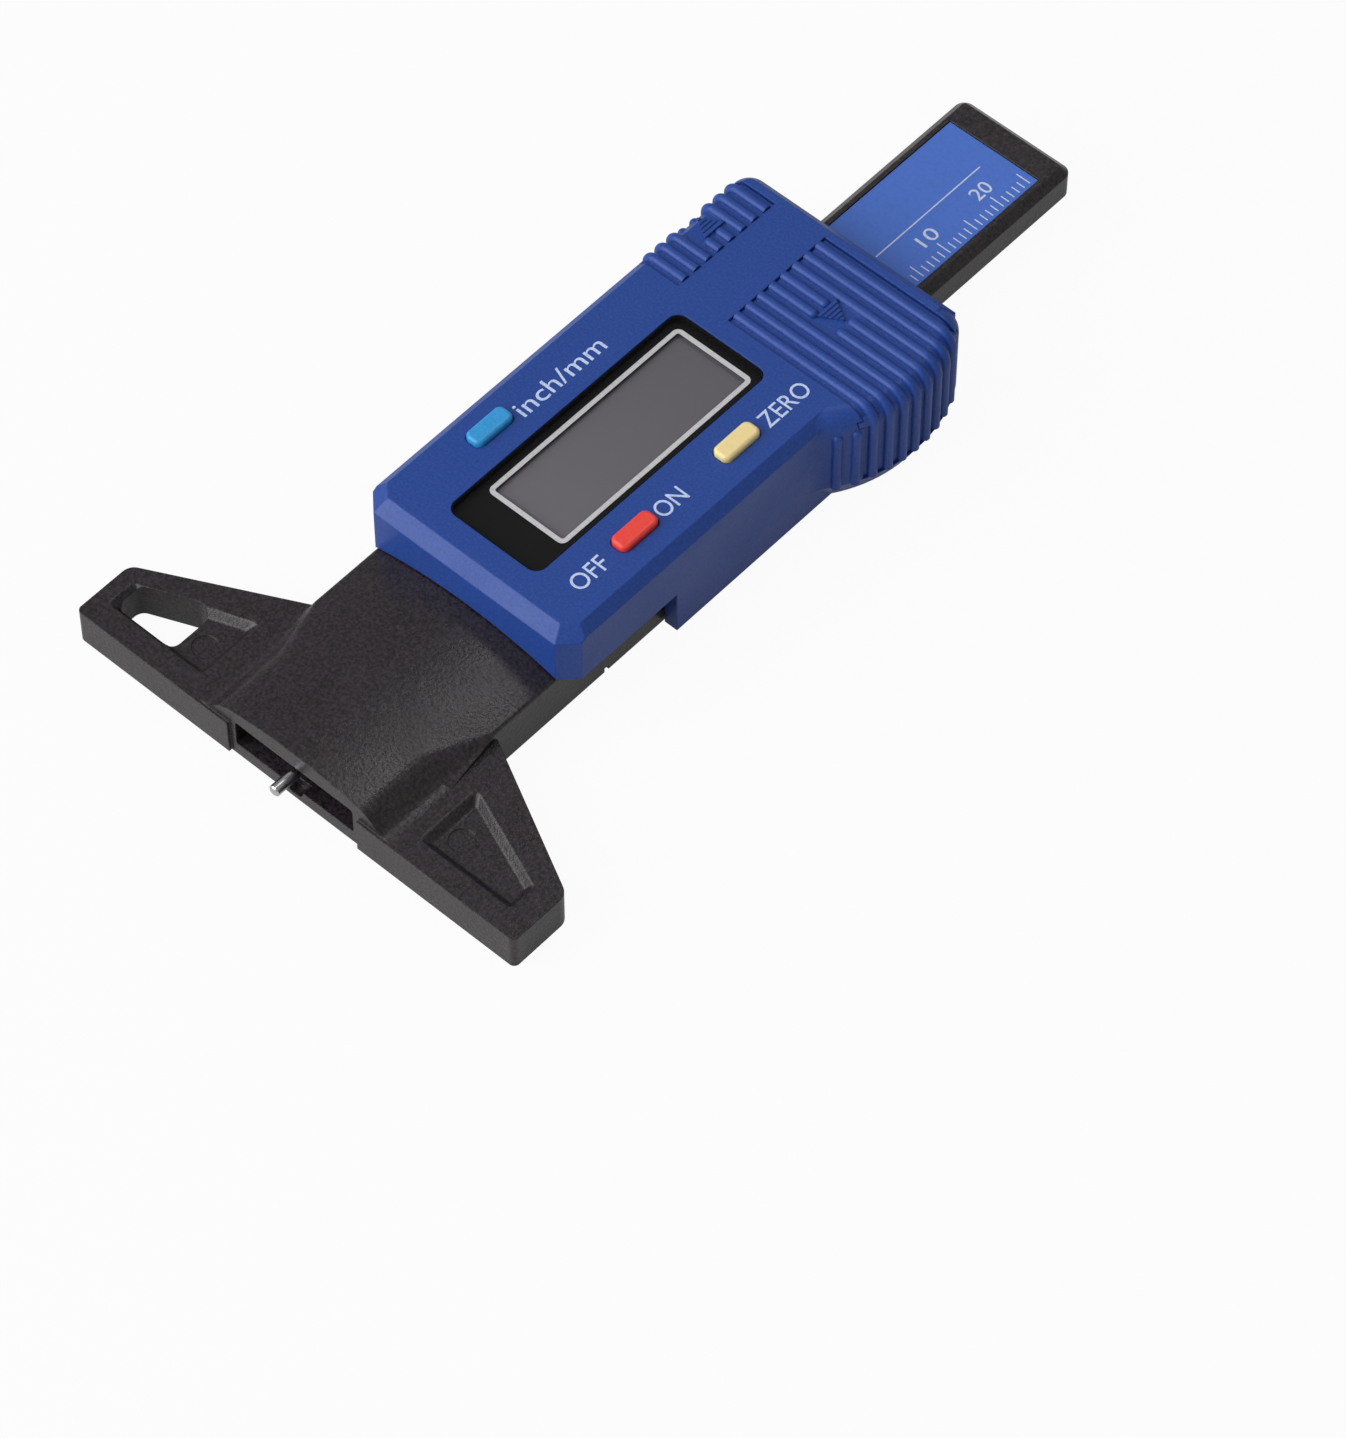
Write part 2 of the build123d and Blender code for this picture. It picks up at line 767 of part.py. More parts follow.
# Steel strip that ties the carriage to the slider
with BuildPart() as carrier_strip:
    with Locations((0, strip_front_y, cover_floor)):
        Box(2 * strip_half_width, strip_length, strip_thickness, align=rearward)
    with Locations(*[(x, y, cover_floor) for x, y in rivet_places]):
        Cylinder(rivet_radius + screw_gap, strip_thickness, align=upright, mode=Mode.SUBTRACT)
    with Locations(*[(x, y, cover_floor) for x, y in carrier_screw_places]):
        Cylinder(board_screw_radius + screw_gap, strip_thickness, align=upright, mode=Mode.SUBTRACT)
carrier_strip.part.label = "carrier_strip"
export_step(carrier_strip.part, "parts/carrier_strip.step")

# Rivets of the carriage
with BuildPart() as carrier_rivets:
    with Locations(*[(x, y, cover_floor) for x, y in rivet_places]):
        Cylinder(rivet_radius, carriage_top - cover_floor, align=upright)
    with Locations(*[(x, y, carriage_top - rivet_head_height) for x, y in rivet_places]):
        Cylinder(rivet_head_radius, rivet_head_height, align=upright)
carrier_rivets.part.label = "carrier_rivets"
export_step(carrier_rivets.part, "parts/carrier_rivets.step")

# Front housing: the shell of the slider
outer_shape = slider_block(0)
inner_shape = slider_block(wall)
with BuildPart() as front_housing:
    add(outer_shape)
    add(inner_shape, mode=Mode.SUBTRACT)

    # The step under the front half and the arch over the neck
    with Locations((0, slider_front_y - over, -over)):
        Box(
            2 * (slider_half_width + over),
            step_y - slider_front_y + over,
            overhang_floor + over,
            align=rearward,
            mode=Mode.SUBTRACT,
        )
    with BuildSketch(Plane.XZ.offset(over - slider_front_y)):
        with BuildLine():
            arch_end_z = neck_shoulder + arch_gap
            Polyline(
                (-neck_half_width, arch_end_z),
                (-neck_half_width, 0),
                (neck_half_width, 0),
                (neck_half_width, arch_end_z),
            )
            ThreePointArc(
                (neck_half_width, arch_end_z),
                (0, neck_crown + arch_gap),
                (-neck_half_width, arch_end_z),
            )
        make_face()
    extrude(amount=-2 * over - wall, mode=Mode.SUBTRACT)
    for side, align in ((1, rightward), (-1, leftward)):
        guide_x = side * (neck_half_width + slide_gap)
        with Locations((guide_x, step_y + neck_guide_length / 2, 0)):
            Box(
                slider_half_width - wall + bite - neck_half_width - slide_gap,
                neck_guide_length,
                board_floor - hold_gap,
                align=align,
            )

    # The opening for the beam and the pockets for the rear cover's hooks
    with Locations((0, slider_inner_rear_y - over, -over)):
        Box(
            2 * (beam_half_width + slide_gap),
            wall + 2 * over,
            beam_top + slide_gap + over,
            align=rearward,
            mode=Mode.SUBTRACT,
        )
    for side in (-1, 1):
        with Locations((side * hook_x, slider_inner_rear_y - bite, hook_floor - hold_gap)):
            Box(
                hook_width + 2 * hold_gap,
                hook_length + hold_gap + bite,
                hook_height + 2 * hold_gap,
                align=rearward,
                mode=Mode.SUBTRACT,
            )

    # The window's recess and view, and the holes of the buttons
    with BuildSketch(Plane.XY.offset(slider_top)):
        with Locations((display_x, window_y)):
            RectangleRounded(
                window_width + 2 * hold_gap, window_length + 2 * hold_gap, window_radius + hold_gap
            )
    extrude(amount=-window_recess, mode=Mode.SUBTRACT)
    with Locations((display_x, lcd_y, roof_z - over)):
        Box(view_width, view_length, wall + 2 * over, align=upright, mode=Mode.SUBTRACT)
    with BuildSketch(Plane.XY.offset(slider_top)):
        with Locations(*button_places):
            RectangleRounded(
                button_width + 2 * button_gap, button_length + 2 * button_gap, button_radius + button_gap
            )
    extrude(amount=-wall - over, mode=Mode.SUBTRACT)

    # The openings of the covers and the grooves of their rails
    cover_openings = (
        (battery_cover_x, battery_cover_floor, rightward),
        (port_cover_x, port_cover_floor, leftward),
    )
    for edge_x, floor_z, align in cover_openings:
        with Locations((edge_x, grip_middle_y, floor_z)):
            Box(2 * bulge_reach, grip_length, slider_top, align=align, mode=Mode.SUBTRACT)
        with Locations((edge_x, grip_middle_y, rail_top - rail_height - cover_gap)):
            Box(
                2 * bulge_reach,
                grip_length + 2 * rail_reach,
                rail_height + 2 * cover_gap,
                align=align,
                mode=Mode.SUBTRACT,
            )

    # Posts for the board's screws and the housing's screws
    with Locations(*[(x, y, board_top) for x, y in board_screw_places]):
        Cylinder(board_post_radius, roof_z - board_top + bite, align=upright)
    with Locations(*[(x, y, board_top - over) for x, y in board_screw_places]):
        Cylinder(
            board_screw_radius + screw_gap,
            board_screw_length + over - board_thickness,
            align=upright,
            mode=Mode.SUBTRACT,
        )
    with Locations(*[(x, y, cover_floor + hold_gap) for x, y in housing_screw_places]):
        Cylinder(housing_post_radius, roof_z + bite - cover_floor - hold_gap, align=upright)
    with Locations(*[(x, y, 0) for x, y in housing_screw_places]):
        Cylinder(
            housing_screw_radius + screw_gap,
            housing_screw_length + head_sink + bite,
            align=upright,
            mode=Mode.SUBTRACT,
        )

    # Short ribs on the side of the bulge, in front of the battery cover
    for index in range(side_rib_count):
        rib_y = grip_front_y - side_rib_margin - index * rib_pitch
        rib_x = bulge_side(rib_y)
        add(side_rib(1, rib_y, rib_x, side_rib_crest, bulge_under_height, side_rib_top))
front_housing.part.label = "front_housing"
export_step(front_housing.part, "parts/front_housing.step")

# Rear cover: the slider's floor with its tongue, guides and battery seat
floor_shape = slider_block(wall + hold_gap)
seat_left_x = right_guide_x + guide_thickness
seat_right_x = cell_x + contact_disc_radius
seat_length = 2 * contact_disc_radius
seat_height = cell_floor - contact_thickness - cover_floor
with BuildPart() as rear_cover:
    add(floor_shape)
    with Locations((0, floor_front_y, 0)):
        Box(
            4 * slider_half_width, slider_length, cover_floor, align=rearward, mode=Mode.INTERSECT
        )
    with Locations((0, step_y, tongue_floor)):
        Box(
            2 * (channel_half_width - tongue_side_gap),
            floor_front_y - step_y + bite,
            tongue_thickness,
            align=rearward,
        )

    # Walls and runners that guide the beam, and the sill under it in the rear wall
    for wall_x, align in ((left_guide_x, leftward), (right_guide_x, rightward)):
        with Locations((wall_x, guide_middle_y, cover_floor - bite)):
            Box(guide_thickness, guide_length, guide_top - cover_floor + bite, align=align)
    with Locations((-runner_x, guide_middle_y, 0), (runner_x, guide_middle_y, 0)):
        Box(runner_width, guide_length, runner_top, align=upright)
    with Locations((0, slider_inner_rear_y - hold_gap - bite, 0)):
        Box(
            2 * (beam_half_width + slide_gap - hold_gap),
            wall + hold_gap + bite,
            runner_top,
            align=rearward,
        )

    # Seat of the coin cell
    with Locations((seat_left_x - bite, cell_y, cover_floor - bite)):
        Box(seat_right_x - seat_left_x + bite, seat_length, seat_height + bite, align=rightward)
    with Locations((seat_left_x, cell_y, cover_floor)):
        Box(
            seat_right_x - seat_left_x - seat_wall,
            seat_length - 2 * seat_wall,
            seat_height + over,
            align=rightward,
            mode=Mode.SUBTRACT,
        )

    # Hooks for the rear wall and the screw holes with their sunk heads
    for side in (-1, 1):
        with Locations((side * hook_x, slider_inner_rear_y - hold_gap - bite, hook_floor)):
            Box(hook_width, hook_length + hold_gap + bite, hook_height, align=rearward)
    head_depth = head_sink + housing_screw_head_height
    with Locations(*[(x, y, 0) for x, y in housing_screw_places]):
        Cylinder(
            housing_screw_radius + screw_gap, cover_floor, align=upright, mode=Mode.SUBTRACT
        )
        Cylinder(
            housing_screw_head_radius + screw_gap, head_depth, align=upright, mode=Mode.SUBTRACT
        )
    head_depth = head_sink + board_screw_head_height
    with Locations(*[(x, y, 0) for x, y in carrier_screw_places]):
        Cylinder(board_screw_radius + screw_gap, cover_floor, align=upright, mode=Mode.SUBTRACT)
        Cylinder(
            board_screw_head_radius + screw_gap, head_depth, align=upright, mode=Mode.SUBTRACT
        )
rear_cover.part.label = "rear_cover"
export_step(rear_cover.part, "parts/rear_cover.step")

# Display window
with BuildPart() as display_window:
    with BuildSketch(Plane.XY.offset(slider_top - window_recess)):
        with Locations((display_x, window_y)):
            RectangleRounded(window_width, window_length, window_radius)
    extrude(amount=window_thickness)
display_window.part.label = "display_window"
export_step(display_window.part, "parts/display_window.step")

# Display glass: a wide front plate on a narrower rear plate
with BuildPart() as lcd_panel:
    with Locations((display_x, lcd_y, lcd_shelf)):
        Box(lcd_width, lcd_length, lcd_glass, align=upright)
    with Locations((display_x, lcd_y, lcd_shelf - lcd_glass)):
        Box(
            lcd_width - 2 * (holder_ledge + hold_gap),
            lcd_length - 2 * (holder_ledge + hold_gap),
            lcd_glass,
            align=upright,
        )
lcd_panel.part.label = "lcd_panel"
export_step(lcd_panel.part, "parts/lcd_panel.step")

# Frame that holds the display glass and the rubber connectors
with BuildPart() as lcd_holder:
    with Locations((display_x, lcd_y, board_top)):
        Box(
            lcd_width + 2 * (hold_gap + holder_wall),
            lcd_length + 2 * (hold_gap + holder_wall),
            lcd_top - board_top,
            align=upright,
        )
        Box(
            lcd_width - 2 * holder_ledge,
            lcd_length - 2 * holder_ledge,
            lcd_top - board_top,
            align=upright,
            mode=Mode.SUBTRACT,
        )
    with Locations((display_x, lcd_y, lcd_shelf)):
        Box(
            lcd_width + 2 * hold_gap,
            lcd_length + 2 * hold_gap,
            lcd_glass + over,
            align=upright,
            mode=Mode.SUBTRACT,
        )
    for side in (-1, 1):
        with Locations((display_x + side * zebra_x, lcd_y, board_top)):
            Box(
                zebra_width + 2 * hold_gap,
                zebra_length + 2 * hold_gap,
                lcd_top - board_top,
                align=upright,
                mode=Mode.SUBTRACT,
            )
lcd_holder.part.label = "lcd_holder"
export_step(lcd_holder.part, "parts/lcd_holder.step")

# Rubber connectors between the board and the display glass
with BuildPart() as zebra_strips:
    for side in (-1, 1):
        with Locations((display_x + side * zebra_x, lcd_y, board_top)):
            Box(zebra_width, zebra_length, lcd_shelf - board_top, align=upright)
zebra_strips.part.label = "zebra_strips"
export_step(zebra_strips.part, "parts/zebra_strips.step")

# Main board
board_shape = slider_block(wall + board_edge_gap)
with BuildPart() as main_board:
    add(board_shape)
    with Locations((0, slider_front_y, board_floor)):
        Box(
            2 * board_half_width, slider_length, board_thickness, align=rearward, mode=Mode.INTERSECT
        )
    with Locations((cell_x, cell_y, board_floor)):
        Cylinder(
            cell_radius + cell_cut_gap, board_thickness, align=upright, mode=Mode.SUBTRACT
        )
        Box(
            2 * cell_radius,
            2 * (cell_radius + cell_cut_gap),
            board_thickness,
            align=rightward,
            mode=Mode.SUBTRACT,
        )
    with Locations(*[(x, y, board_floor) for x, y in housing_screw_places]):
        Cylinder(
            housing_post_radius + slide_gap, board_thickness, align=upright, mode=Mode.SUBTRACT
        )
    with Locations(*[(x, y, board_floor) for x, y in board_screw_places]):
        Cylinder(
            board_screw_radius + screw_gap, board_thickness, align=upright, mode=Mode.SUBTRACT
        )
main_board.part.label = "main_board"
export_step(main_board.part, "parts/main_board.step")

# Pick-up board over the measuring scale
with BuildPart() as sensor_board:
    with Locations((sensor_left_x, sensor_front_y + sensor_length / 2, board_floor - sensor_thickness)):
        Box(sensor_right_x - sensor_left_x, sensor_length, sensor_thickness, align=rightward)
sensor_board.part.label = "sensor_board"
export_step(sensor_board.part, "parts/sensor_board.step")

# Controller chip
with BuildPart() as controller_chip:
    with Locations((chip_x, chip_y, board_top)):
        Box(chip_side, chip_side, chip_height, align=upright)
    chamfer(controller_chip.faces().sort_by(Axis.Z)[-1].edges(), chip_chamfer)
controller_chip.part.label = "controller_chip"
export_step(controller_chip.part, "parts/controller_chip.step")

# Crystal
with BuildPart() as crystal:
    with BuildSketch(Plane.XY.offset(board_top)):
        with Locations((crystal_x, crystal_y)):
            SlotOverall(crystal_length, crystal_width, rotation=90)
    extrude(amount=crystal_height)
crystal.part.label = "crystal"
export_step(crystal.part, "parts/crystal.step")

# Capacitors
with BuildPart() as capacitors:
    with Locations((capacitor_x, capacitor_y, board_top)):
        with GridLocations(capacitor_pitch, capacitor_length, capacitor_count, 1):
            Box(capacitor_width, capacitor_length, capacitor_height, align=upright)
capacitors.part.label = "capacitors"
export_step(capacitors.part, "parts/capacitors.step")

# Switches under the buttons
with BuildPart() as switch_domes:
    with Locations(*[(x, y, board_top) for x, y in button_places]):
        Box(switch_width, switch_length, switch_height, align=upright)
        Cylinder(plunger_radius, switch_height + plunger_height, align=upright)
switch_domes.part.label = "switch_domes"
export_step(switch_domes.part, "parts/switch_domes.step")

# Contact pads of the data port
with BuildPart() as port_contacts:
    with Locations((port_pad_x, grip_middle_y, board_top)):
        with GridLocations(port_pad_length, port_pad_pitch, 1, port_pad_count):
            Box(port_pad_length, port_pad_width, port_pad_thickness, align=upright)
port_contacts.part.label = "port_contacts"
export_step(port_contacts.part, "parts/port_contacts.step")

# Coin cell
with BuildPart() as coin_cell:
    with Locations((cell_x, cell_y, cell_floor)):
        Cylinder(cell_cap_radius, cell_cap_height, align=upright)
    with Locations((cell_x, cell_y, cell_floor + cell_cap_height)):
        Cylinder(cell_radius, cell_height - cell_cap_height, align=upright)
    fillet(coin_cell.faces().sort_by(Axis.Z)[-1].edges(), cell_edge)
coin_cell.part.label = "coin_cell"
export_step(coin_cell.part, "parts/coin_cell.step")

# Contact under the cell, with a tab up to the board
contact_floor = cell_floor - contact_thickness
tab_y = cell_y - cell_radius - cell_cut_gap - contact_tab_gap
with BuildPart() as battery_contact_negative:
    with Locations((cell_x, cell_y, contact_floor)):
        Cylinder(contact_disc_radius, contact_thickness, align=upright)
    with Locations((cell_x, tab_y, contact_floor)):
        Box(contact_width, cell_y - tab_y, contact_thickness, align=rearward)
        Box(contact_width, contact_thickness, board_floor - contact_floor, align=rearward)
battery_contact_negative.part.label = "battery_contact_negative"
export_step(battery_contact_negative.part, "parts/battery_contact_negative.step")

# Contact beside the cell, with a foot on the board
with BuildPart() as battery_contact_positive:
    with Locations((cell_x, cell_y + cell_radius + hold_gap, board_top)):
        Box(clip_width, contact_thickness, clip_height, align=rearward)
        Box(clip_width, clip_foot, contact_thickness, align=rearward)
battery_contact_positive.part.label = "battery_contact_positive"
export_step(battery_contact_positive.part, "parts/battery_contact_positive.step")

# Leaf spring that presses on the side of the beam
with BuildPart() as friction_spring:
    with BuildSketch(Plane.XY.offset(cover_floor)):
        with BuildLine():
            heel_x = left_guide_x + hold_gap
            toe_x = -beam_half_width - screw_gap - spring_thickness
            spring_start_y = guide_middle_y - spring_half_length
            spring_end_y = guide_middle_y + spring_half_length
            ThreePointArc((heel_x, spring_start_y), (toe_x, guide_middle_y), (heel_x, spring_end_y))
            Line((heel_x, spring_end_y), (heel_x + spring_thickness, spring_end_y))
            ThreePointArc(
                (heel_x + spring_thickness, spring_end_y),
                (toe_x + spring_thickness, guide_middle_y),
                (heel_x + spring_thickness, spring_start_y),
            )
            Line((heel_x + spring_thickness, spring_start_y), (heel_x, spring_start_y))
        make_face()
    extrude(amount=spring_height)
friction_spring.part.label = "friction_spring"
export_step(friction_spring.part, "parts/friction_spring.step")

# Screws of the housing, the board and the strip
housing_screw = screw(
    housing_screw_radius, housing_screw_head_radius, housing_screw_head_height, housing_screw_length
)
with BuildPart() as housing_screws:
    with Locations(*[(x, y, head_sink) for x, y in housing_screw_places]):
        add(housing_screw)
housing_screws.part.label = "housing_screws"
export_step(housing_screws.part, "parts/housing_screws.step")

board_screw = screw(
    board_screw_radius, board_screw_head_radius, board_screw_head_height, board_screw_length
)
with BuildPart() as board_screws:
    with Locations(*[(x, y, board_floor - board_screw_head_height) for x, y in board_screw_places]):
        add(board_screw)
board_screws.part.label = "board_screws"
export_step(board_screws.part, "parts/board_screws.step")

carrier_screw = screw(
    board_screw_radius, board_screw_head_radius, board_screw_head_height, carrier_screw_length
)
with BuildPart() as carrier_screws:
    with Locations(*[(x, y, head_sink) for x, y in carrier_screw_places]):
        add(carrier_screw)
carrier_screws.part.label = "carrier_screws"
export_step(carrier_screws.part, "parts/carrier_screws.step")

# Buttons
units_shape = push_button(left_button_x, front_button_y)
with BuildPart() as units_button:
    add(units_shape)
units_button.part.label = "units_button"
export_step(units_button.part, "parts/units_button.step")

zero_shape = push_button(right_button_x, zero_button_y)
with BuildPart() as zero_button:
    add(zero_shape)
zero_button.part.label = "zero_button"
export_step(zero_button.part, "parts/zero_button.step")

power_shape = push_button(right_button_x, front_button_y)
with BuildPart() as power_button:
    add(power_shape)
power_button.part.label = "power_button"
export_step(power_button.part, "parts/power_button.step")

# Battery cover: ribbed plate that wraps over the bulge, on rails under the roof
cover_shape = slider_block(cover_sink)
battery_rails = cover_rails(battery_cover_x + cover_gap, 2 * bulge_reach, rightward) & outer_shape
with BuildPart() as battery_cover:
    add(cover_shape)
    add(inner_shape, mode=Mode.SUBTRACT)
    for index in range(rib_count):
        rib_y = grip_front_y + rib_inset_y + index * rib_pitch
        outer_start_x = battery_cover_x
        if abs(rib_y - arrow_y) < (arrow_base + rib_radius) / 2:
            add(top_rib(rib_y, battery_cover_x, battery_arrow_x - rib_radius))
            outer_start_x = battery_arrow_x + arrow_length + arrow_gap
        add(wrapping_rib(1, rib_y, outer_start_x, bulge_side(rib_y), bulge_shoulder))
    add(cover_arrow(1, battery_arrow_x))
    with Locations((battery_cover_x + cover_gap, grip_middle_y, battery_cover_floor + cover_gap)):
        Box(
            2 * bulge_reach,
            grip_length - 2 * cover_gap,
            slider_top,
            align=rightward,
            mode=Mode.INTERSECT,
        )
    add(battery_rails)
battery_cover.part.label = "battery_cover"
export_step(battery_cover.part, "parts/battery_cover.step")

# Port cover: smaller ribbed plate over the contact pads
port_rails = cover_rails(port_cover_x - cover_gap, 2 * bulge_reach, leftward) & outer_shape
with BuildPart() as port_cover:
    add(cover_shape)
    add(inner_shape, mode=Mode.SUBTRACT)
    for index in range(rib_count):
        rib_y = grip_front_y + rib_inset_y + index * rib_pitch
        if abs(rib_y - arrow_y) < (arrow_base + rib_radius) / 2:
            add(top_rib(rib_y, port_cover_x, port_arrow_x + rib_radius))
            side_top = rib_z - port_shoulder
            add(side_rib(-1, rib_y, -slider_half_width, rib_crest, port_cover_floor, side_top))
        else:
            add(wrapping_rib(-1, rib_y, port_cover_x, -slider_half_width, port_shoulder))
    add(cover_arrow(-1, port_arrow_x))
    with Locations((port_cover_x - cover_gap, grip_middle_y, port_cover_floor + cover_gap)):
        Box(
            2 * bulge_reach,
            grip_length - 2 * cover_gap,
            slider_top,
            align=leftward,
            mode=Mode.INTERSECT,
        )
    add(port_rails)
port_cover.part.label = "port_cover"
export_step(port_cover.part, "parts/port_cover.step")
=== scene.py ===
import logging
import math
from collections.abc import Iterable
from dataclasses import dataclass, field
from enum import Enum

import bpy
from mathutils import Matrix, Vector


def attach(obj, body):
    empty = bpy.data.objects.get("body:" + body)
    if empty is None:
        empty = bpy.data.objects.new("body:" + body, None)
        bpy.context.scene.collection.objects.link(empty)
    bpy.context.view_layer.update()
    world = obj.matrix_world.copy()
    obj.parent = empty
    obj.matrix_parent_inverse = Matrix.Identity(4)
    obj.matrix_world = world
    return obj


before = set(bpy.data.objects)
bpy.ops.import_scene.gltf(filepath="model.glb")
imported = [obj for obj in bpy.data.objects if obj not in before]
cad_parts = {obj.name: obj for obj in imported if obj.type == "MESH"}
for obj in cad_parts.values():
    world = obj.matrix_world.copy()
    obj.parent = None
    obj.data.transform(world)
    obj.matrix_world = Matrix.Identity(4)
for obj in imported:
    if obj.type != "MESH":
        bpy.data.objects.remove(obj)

log = logging.getLogger("tread_depth_gauge")

Colour = tuple[float, float, float, float]
Point = tuple[float, float, float]
Face = tuple[int, ...]
Tree = bpy.types.NodeTree
Node = bpy.types.Node
Socket = bpy.types.NodeSocket

MM = 0.001
WHITE: Colour = (1.0, 1.0, 1.0, 1.0)
# The sRGB curve: a straight start up to the knee, then a power.
SRGB_KNEE = 0.04045
SRGB_SLOPE = 12.92
SRGB_OFFSET = 0.055
SRGB_POWER = 2.4
# Nearly all values of a noise texture lie between these two.
NOISE_LOW = 0.3
NOISE_HIGH = 0.7
# A grain's noise: its layers, each finer than the last, and how strong the finer ones are.
GRAIN_LAYERS = 3.0
GRAIN_ROUGHNESS = 0.6
# A wave texture of scale 1 turns through this many radians in a metre.
WAVE_RADIANS = 20.0
# Colour sockets of a mix node, which go by number since its other kinds share their names.
MIX_FACTOR = 0
MIX_A = 6
MIX_B = 7
MIX_RESULT = 2
# Refractive indices.
PLASTIC_IOR = 1.5
ACRYLIC_IOR = 1.49
SILICONE_IOR = 1.41
# How far a print goes into the face that carries it, in millimetres.
PRINT_ROOT = 0.01


def linear(hex_colour: str) -> Colour:
    """Turns an sRGB hex colour into linear RGBA.

    Args:
        hex_colour: Six hex digits, such as "2E4A90".

    Returns:
        The linear red, green and blue with an alpha of 1.
    """
    channels = [int(hex_colour[i:i + 2], 16) / 255.0 for i in (0, 2, 4)]
    red, green, blue = (
        c / SRGB_SLOPE if c <= SRGB_KNEE
        else ((c + SRGB_OFFSET) / (1.0 + SRGB_OFFSET)) ** SRGB_POWER
        for c in channels
    )
    return (red, green, blue, 1.0)


def per_metre(size_mm: float) -> float:
    """Gives the texture scale at which one feature is size_mm across."""
    return 1.0 / (size_mm * MM)


def add_node(
    tree: Tree,
    kind: str,
    settings: dict[str | int, object] | None = None,
    links: dict[str | int, Socket] | None = None,
) -> Node:
    """Adds a node to a tree with its settings and links.

    Args:
        tree: The node tree that gets the node.
        kind: Blender's name for the kind of node.
        settings: Values by input name, input number or attribute name.
        links: Sockets that feed an input, by input name or number.

    Returns:
        The new node.
    """
    node = tree.nodes.new(kind)
    for key, value in (settings or {}).items():
        if isinstance(key, int) or key in node.inputs:
            node.inputs[key].default_value = value
        else:
            setattr(node, key, value)
    for key, source in (links or {}).items():
        tree.links.new(source, node.inputs[key])
    return node


def straight_rays(tree: Tree) -> tuple[Node, Socket]:
    """Finds the rays that come from the camera or through clear plastic.

    Args:
        tree: The node tree of the floor or the sky.

    Returns:
        The light path, and a socket that is 1 for those rays.
    """
    ray = add_node(tree, "ShaderNodeLightPath")
    straight = add_node(
        tree, "ShaderNodeMath", {"operation": "MAXIMUM"},
        {0: ray.outputs["Is Camera Ray"], 1: ray.outputs["Is Transmission Ray"]},
    )
    return ray, straight.outputs[0]


@dataclass(frozen=True)
class Finish:
    """What a surface is made of.

    Attributes:
        name: Common name of the material and how its surface was made.
    """

    name: str

    def material(self) -> bpy.types.Material:
        """Builds the finish's node material.

        Returns:
            The new material.
        """
        material = bpy.data.materials.new(self.name)
        material.use_nodes = True
        tree = material.node_tree
        tree.nodes.clear()
        place = add_node(tree, "ShaderNodeTexCoord").outputs["Object"]
        shader = self.surface(tree, place)
        add_node(tree, "ShaderNodeOutputMaterial", links={"Surface": shader.outputs[0]})
        return material

    def surface(self, tree: Tree, place: Socket) -> Node:
        """Lays the nodes of the surface.

        Args:
            tree: The material's node tree.
            place: The object's own coordinates in metres.

        Returns:
            The shader that feeds the output.
        """
        raise NotImplementedError


@dataclass(frozen=True)
class MouldedPlastic(Finish):
    """Injection-moulded thermoplastic with the spark-eroded grain of its tool.

    Attributes:
        colour: sRGB hex of the plastic.
        worn_colour: sRGB hex of the painted glint on the grain's tips, where they would catch the
            light.
        roughness: Typical roughness of the surface.
        grain_mm: Spacing of the tool's grain.
        grain_depth_mm: Height of the grain.
        edge_mm: Radius at which the eye sees a moulded edge as round.
        specular: Specular level of the plastic.
        flow_mm: Spacing of the slow changes of gloss where the melt flowed.
        glossier: How far the roughness falls at the glossiest.
        duller: How far it rises at the dullest.
        tip_level: Level of the grain's noise at which its tips start.
        relief: Share of the grain's height that shades it.
    """

    colour: str
    worn_colour: str
    roughness: float
    grain_mm: float
    grain_depth_mm: float
    edge_mm: float = 0.15
    specular: float = 0.5
    flow_mm: float = 9.0
    glossier: float = 0.04
    duller: float = 0.05
    tip_level: float = 0.35
    relief: float = 0.6

    def surface(self, tree: Tree, place: Socket) -> Node:
        """Lays the grain with a painted glint on its tips, the changes of gloss and the rounded
        edges.

        Args:
            tree: The material's node tree.
            place: The object's own coordinates.

        Returns:
            The shader that feeds the output.
        """
        grain = add_node(
            tree, "ShaderNodeTexNoise",
            {"Scale": per_metre(self.grain_mm), "Detail": GRAIN_LAYERS,
             "Roughness": GRAIN_ROUGHNESS},
            {"Vector": place},
        )
        flow = add_node(
            tree, "ShaderNodeTexNoise", {"Scale": per_metre(self.flow_mm)}, {"Vector": place}
        )
        # Painted glint: the grain's tips are painted lighter, as if they caught the light.
        tips = add_node(
            tree, "ShaderNodeMapRange", {"From Min": self.tip_level, "From Max": NOISE_HIGH},
            {"Value": grain.outputs["Fac"]},
        )
        tint = add_node(
            tree, "ShaderNodeMix",
            {"data_type": "RGBA", MIX_A: linear(self.colour), MIX_B: linear(self.worn_colour)},
            {MIX_FACTOR: tips.outputs["Result"]},
        )
        gloss = add_node(
            tree, "ShaderNodeMapRange",
            {"From Min": NOISE_LOW, "From Max": NOISE_HIGH,
             "To Min": self.roughness - self.glossier, "To Max": self.roughness + self.duller},
            {"Value": flow.outputs["Fac"]},
        )
        edge = add_node(tree, "ShaderNodeBevel", {"Radius": self.edge_mm * MM})
        relief = add_node(
            tree, "ShaderNodeBump",
            {"Strength": self.relief, "Distance": self.grain_depth_mm * MM},
            {"Height": grain.outputs["Fac"], "Normal": edge.outputs["Normal"]},
        )
        return add_node(
            tree, "ShaderNodeBsdfPrincipled",
            {"IOR": PLASTIC_IOR, "Specular IOR Level": self.specular},
            {"Base Color": tint.outputs[MIX_RESULT], "Roughness": gloss.outputs["Result"],
             "Normal": relief.outputs["Normal"]},
        )


